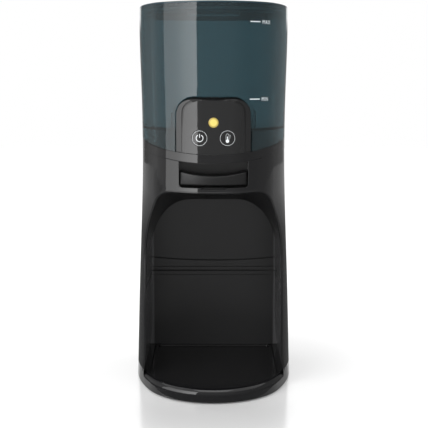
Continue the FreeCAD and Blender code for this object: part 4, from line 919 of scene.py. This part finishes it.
class WARMER_OT_screws(bpy.types.Operator):
    """Screws of the rear cover and the base plate, with a cross recess in a domed head"""
    bl_idname = "warmer.screws"
    bl_label = "Screws"

    def execute(self, context):
        low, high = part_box("rear_cover_screws")
        across, below, above = high.x - HEAD_RADIUS, low.z + HEAD_RADIUS, high.z - HEAD_RADIUS
        rear = [self.screw((side * across, end, height), (0, 1, 0), REAR_SCREW_LENGTH)
                for side in (-1, 1) for height, end in ((below, high.y), (above, UPPER_SCREW_END))]
        self.joined("rear_cross_screws", rear, "rear_cover_screws")
        low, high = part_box("base_screws")
        base = [self.screw((side * (high.x - HEAD_RADIUS), place, low.z), (0, 0, -1), high.z - low.z)
                for side in (-1, 1) for place in (low.y + HEAD_RADIUS, high.y - HEAD_RADIUS)]
        self.joined("base_cross_screws", base, "base_screws")
        return {"FINISHED"}

    def screw(self, top, axis, long):
        """Surface of a screw turned about its axis, with two crossed slots pressed into the head.

        On the head, the height is a shallow dome less the slots' depth; a slot is one where the distance to
        its middle line is small and it ends inside the head."""
        rings = np.linspace(MIDDLE_SHARE, 1.0, 22)[:, None] * HEAD_RADIUS
        turn = np.linspace(0, 2 * math.pi, 96, endpoint=False)[None, :]
        x, y = rings * np.cos(turn), rings * np.sin(turn)
        slot = np.maximum(*(np.interp(np.abs(a), SLOT_HALF_WIDTH, (1, 0))
                            * np.interp(np.abs(b), SLOT_HALF_LENGTH, (1, 0)) for a, b in ((x, y), (y, x))))
        height = -HEAD_DOME * (rings / HEAD_RADIUS) ** 2 - SLOT_DEPTH * slot
        tail = [(HEAD_RADIUS, -HEAD_DEPTH), (SHANK_RADIUS, -HEAD_DEPTH), (SHANK_RADIUS, TIP_LENGTH - long),
                (TIP_RADIUS, -long)]
        radii, levels = np.array(tail).T
        around = np.concatenate([rings * np.ones_like(turn), radii[:, None] * np.ones_like(turn)])
        height = np.concatenate([height, levels[:, None] * np.ones_like(turn)])
        axis, first = np.array(axis, float), np.array([1.0, 0.0, 0.0])
        second = np.cross(axis, first)
        return (np.array(top) + height[..., None] * axis
                + around[..., None] * (np.cos(turn)[..., None] * first + np.sin(turn)[..., None] * second))

    def joined(self, name, screws, node):
        """One piece of several screws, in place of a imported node."""
        faces, count = [], 0
        for rows in screws:
            faces += [[index + count for index in face] for face in closed_faces(rows)]
            count += rows.shape[0] * rows.shape[1]
        piece = mesh_piece(name, np.concatenate([rows.reshape(-1, 3) for rows in screws]), faces,
                           "screw_steel", "housing")
        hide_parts(node)


class WARMER_OT_level_marks(bpy.types.Operator):
    """Prints the upper and lower level marks on the tank"""
    bl_idname = "warmer.level_marks"
    bl_label = "Level marks"

    def execute(self, context):
        prints = context.scene.warmer_prints
        outside = form()
        along = prints.mark_start + prints.mark_length * np.linspace(0, 1, 13)[None, :]
        start = prints.mark_start + prints.mark_length + prints.word_gap
        for word, height in (("MAX", prints.max_height), ("MIN", prints.min_height)):
            up = height + prints.mark_thickness * np.array([-0.5, 0.5])[:, None]
            points = outside.point(outside.turn_along(along, up), up, -prints.print_lift)
            mesh_piece("dash_" + word.lower(), points, grid_faces(2, 13), "tank_smoke", "tank", "print_white")
            letters = wrap_mesh(word_mesh(word, prints.word_height), start, height - prints.word_height / 2,
                                prints.print_lift)
            place_piece("word_" + word.lower(), letters, "tank_smoke", "tank", "print_white")
        return {"FINISHED"}


def printed_symbol(name, bands, centre_x, body, sink):
    """Joins flat bands into one print and lays it on the face of a key."""
    outside = form()
    points, faces, count = [], [], 0
    for band in bands:
        flat = band.reshape(-1, 2)
        points.append(outside.front(centre_x + flat[:, 0], BUTTON_HEIGHT + flat[:, 1], sink))
        faces.append(grid_faces(*band.shape[:2])[:, ::-1] + count)
        count += len(flat)
    return mesh_piece(name, np.concatenate(points), np.concatenate(faces), "key_black", body, "print_white")


class WARMER_OT_key_symbols(bpy.types.Operator):
    """Prints a ring and a symbol on each key: power, and a thermometer"""
    bl_idname = "warmer.key_symbols"
    bl_label = "Key symbols"

    def execute(self, context):
        prints = context.scene.warmer_prints
        ring = stroke(circle(prints.ring_radius - prints.ring_width / 2), prints.ring_width)
        sink = context.scene.warmer_controls.key_sink - prints.print_lift
        mm = 0.001
        power_line, arc_start, arc_end = 0.55 * mm, math.radians(120), math.radians(420)
        power = [ring, stroke(circle(2.9 * mm, arc_start, arc_end, 36), power_line),
                 stroke(line((0, 0.3 * mm), (0, 3.6 * mm)), power_line)]
        printed_symbol("power_symbol", power, -BUTTON_SPREAD, "power_key", sink)
        bulb_radius, bulb_height = 1.5 * mm, -2.4 * mm
        case_radius, case_foot, case_top, case_line = 1.25 * mm, -1.2 * mm, 2.4 * mm, 0.22 * mm
        bulb = stroke(circle(bulb_radius / 2, steps=24, centre=(0, bulb_height)), bulb_radius - 1e-6)
        column = stroke(line((0, bulb_height), (0, 1.4 * mm)), 0.7 * mm)
        case = stroke(circle(case_radius, 0, math.pi, 12, (0, case_top)), case_line)
        walls = [stroke(line((side * case_radius, case_foot), (side * case_radius, case_top)), case_line)
                 for side in (-1, 1)]
        ticks = [stroke(line((1.9 * mm, height * mm), (2.7 * mm, height * mm)), 0.2 * mm)
                 for height in (0.2, 1.2, 2.2)]
        printed_symbol("thermometer_symbol", [ring, bulb, column, case] + walls + ticks, BUTTON_SPREAD,
                       "temperature_key", sink)
        return {"FINISHED"}


def glow_piece(name, points, faces, levels):
    """A stage card that only gloss can see; each vertex has its own radiance in the attribute level."""
    material, shader = blank_finish(name)
    tree = material.node_tree
    level = shader_node(tree, "Attribute", attribute_name="level").outputs["Fac"]
    away = shader_node(tree, "NewGeometry").outputs["Backfacing"]
    feed_all(tree, shader, {"Base Color": (0.0, 0.0, 0.0, 1.0), "Specular IOR Level": 0.0,
                            "Emission Color": WHITE, "Emission Strength": level,
                            "Alpha": math_node(tree, "SUBTRACT", 1.0, away)})
    mesh = new_mesh(name, points, faces)
    attribute = mesh.attributes.new("level", "FLOAT", "POINT")
    attribute.data.foreach_set("value", np.asarray(levels, np.float32).ravel())
    card = new_object(name, mesh, material)
    card.visible_camera = card.visible_diffuse = card.visible_transmission = card.visible_shadow = False
    return card


def around_up(around, reach, up):
    """Points at a reach from the middle and a height, around from the front."""
    return np.stack([reach * np.sin(around), -reach * np.cos(around), up], axis=-1)


def seen_white(tree, level, gloss):
    """Strength 1 for camera and transmission rays, gloss for glossy rays, and level for the rest."""
    path = shader_node(tree, "LightPath").outputs
    seen = math_node(tree, "MAXIMUM", path["Is Camera Ray"], path["Is Transmission Ray"])
    shiny = math_node(tree, "MAXIMUM", math_node(tree, "SUBTRACT", path["Is Glossy Ray"], seen), 0.0)
    rest = math_node(tree, "SUBTRACT", math_node(tree, "SUBTRACT", 1.0, seen), shiny)
    total = math_node(tree, "ADD", seen, math_node(tree, "MULTIPLY", shiny, gloss))
    return math_node(tree, "ADD", total, math_node(tree, "MULTIPLY", rest, level))


class WARMER_OT_stage(bpy.types.Operator):
    """Sets the camera, the white floor, the lamps and the light tent"""
    bl_idname = "warmer.stage"
    bl_label = "Studio"

    def execute(self, context):
        scene, studio = context.scene, context.scene.warmer_studio
        scene.view_settings.view_transform = "Standard"
        for step in (self.camera, self.world, self.lamp, self.tent, self.floor):
            step(scene, studio)
        return {"FINISHED"}

    def camera(self, scene, studio):
        lens = bpy.data.cameras.new("photo_camera")
        lens.sensor_width = SENSOR_WIDTH
        lens.lens = lens.sensor_width * studio.focal_pixels / PHOTO_PIXELS
        lens.clip_end = CLIP_END
        holder = bpy.data.objects.new("photo_camera", lens)
        holder.location = (studio.camera_aside, -studio.camera_distance, studio.camera_height)
        holder.rotation_euler = (math.pi / 2 - studio.camera_pitch, 0.0, 0.0)
        scene.collection.objects.link(holder)
        scene.camera = holder

    def world(self, scene, studio):
        """Plain grey light; camera and glass see white, as does gloss above a darker band at the horizon."""
        world = bpy.data.worlds.new("studio")
        world.use_nodes = True
        scene.world = world
        tree = world.node_tree
        background = tree.nodes["Background"]
        background.inputs["Color"].default_value = WHITE
        direction = shader_node(tree, "TexCoord").outputs["Generated"]
        gloss = ramp(tree, axis_of(tree, direction, "Z"), *HORIZON_BAND, studio.low_level, 1.0)
        feed(tree, background.inputs["Strength"], seen_white(tree, studio.surround_level, gloss))

    def lamp(self, scene, studio):
        """Large soft lamp up on the left in front."""
        lamp = bpy.data.lights.new("left_lamp", "AREA")
        lamp.shape = "RECTANGLE"
        lamp.size = lamp.size_y = LAMP_SIDE
        lamp.energy = studio.lamp_level * math.pi * lamp.size * lamp.size_y
        holder = bpy.data.objects.new("left_lamp", lamp)
        holder.location = LAMP_PLACE
        holder.rotation_euler = (-holder.location).to_track_quat("-Z", "Y").to_euler()
        holder.visible_camera = holder.visible_glossy = False
        scene.collection.objects.link(holder)

    def tent(self, scene, studio):
        """Round light tent that gloss sees: upright wall, overhead softbox and board on the floor.

        The wall's radiance runs in straight lines between the directions in TENT; the left softbox begins and
        ends in a step. The board is brighter in front of the object than behind it."""
        directions, levels = np.array(TENT).T
        azimuth = np.radians(np.unique(np.concatenate([np.linspace(-160, 160, 161), directions])))
        around, up = np.meshgrid(azimuth, [0.0, studio.tent_height])
        wall = around_up(around, studio.tent_radius, up)
        glow_piece("tent_wall", wall, grid_faces(2, len(azimuth))[:, ::-1],
                   np.interp(np.degrees(around), directions, levels))
        left, right, front, rear = SOFTBOX
        corners = [(x, y, studio.tent_height)
                   for x, y in ((left, front), (left, rear), (right, rear), (right, front))]
        glow_piece("tent_top", corners, [(0, 1, 2, 3)], [studio.top_level] * 4)
        around, reach = np.meshgrid(np.linspace(-math.pi, math.pi, 73),
                                    np.linspace(BOARD_HOLE, studio.board_radius, 37))
        board = around_up(around, reach, np.full_like(reach, BOARD_HEIGHT))
        ahead = np.interp(reach, *BOARD_AHEAD)
        behind = np.interp(reach, *BOARD_BEHIND)
        share = np.interp(np.abs(around), BOARD_TURN, (1.0, 0.0))
        glow_piece("tent_floor", board, grid_faces(37, 73)[:, ::-1], share * ahead + (1 - share) * behind)

    def floor(self, scene, studio):
        """White floor, glossy near the object only, that keeps its shadow and a soft reflection of it; in a
        spot in front of the object its brightness for the camera is lowered, a painted shade.
        """
        material, shader = blank_finish("white_floor")
        tree = material.node_tree
        place = object_place(tree)
        far = vector_math(tree, "LENGTH", place).outputs["Value"]
        painted_shade_distance = vector_math(tree, "DISTANCE", place, PAINTED_SHADE_SPOT).outputs["Value"]
        lift = ramp(tree, far, *LIFT_REACH, studio.floor_lift, studio.far_lift, "SMOOTHSTEP")
        # Painted shade: less emission in a spot in front of the object
        drop = ramp(tree, painted_shade_distance, *PAINTED_SHADE_REACH, studio.painted_front_shade, 0.0, "SMOOTHSTEP")
        seen = shader_node(tree, "LightPath").outputs["Is Camera Ray"]
        lifted = math_node(tree, "SUBTRACT", lift, drop)
        feed_all(tree, shader, {
            "Base Color": (FLOOR_TONE, FLOOR_TONE, FLOOR_TONE, 1.0), "Roughness": FLOOR_ROUGHNESS,
            "IOR": FLOOR_IOR, "Emission Color": WHITE,
            "Specular IOR Level": ramp(tree, far, *GLOSS_REACH, FLOOR_GLOSS, 0.0, "SMOOTHSTEP"),
            "Emission Strength": math_node(tree, "MULTIPLY", seen, lifted)})
        side = studio.floor_extent
        corners = [(-side, -side, 0), (side, -side, 0), (side, side, 0), (-side, side, 0)]
        floor = new_object("floor", new_mesh("floor", corners, [(0, 1, 2, 3)]), material)


class WARMER_PT_sidebar(bpy.types.Panel):
    """Steps and values of the water warmer"""
    bl_label = "Formula water warmer"
    bl_idname = "WARMER_PT_sidebar"
    bl_space_type = "VIEW_3D"
    bl_region_type = "UI"
    bl_category = "Warmer"

    def draw(self, context):
        for step in STEPS:
            self.layout.operator(step.bl_idname)
        for name in GROUPS:
            settings = getattr(context.scene, name)
            column = self.layout.column(heading=name.replace("_", " "))
            for prop in settings.bl_rna.properties:
                if prop.identifier not in ("rna_type", "name"):
                    column.prop(settings, prop.identifier)


STEPS = (WARMER_OT_finishes, WARMER_OT_bay_lip, WARMER_OT_bay_lines, WARMER_OT_keys, WARMER_OT_indicator,
         WARMER_OT_panel_line, WARMER_OT_lever_skin, WARMER_OT_screws, WARMER_OT_level_marks,
         WARMER_OT_key_symbols, WARMER_OT_stage)
GROUPS = {"warmer_form": WarmerForm, "warmer_bay": WarmerBay, "warmer_controls": WarmerControls,
          "warmer_prints": WarmerPrints, "warmer_colours": WarmerColours, "warmer_studio": WarmerStudio}
CLASSES = (*GROUPS.values(), *STEPS, WARMER_PT_sidebar)


def register():
    for cls in CLASSES:
        bpy.utils.register_class(cls)
    for name, group in GROUPS.items():
        setattr(bpy.types.Scene, name, PointerProperty(type=group))


def unregister():
    for name in GROUPS:
        delattr(bpy.types.Scene, name)
    for cls in reversed(CLASSES):
        bpy.utils.unregister_class(cls)


def main():
    """Registers the add-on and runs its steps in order."""
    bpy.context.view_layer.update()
    register()
    for step in STEPS:
        group, name = step.bl_idname.split(".")
        getattr(getattr(bpy.ops, group), name)()


if __name__ == "__main__":
    main()
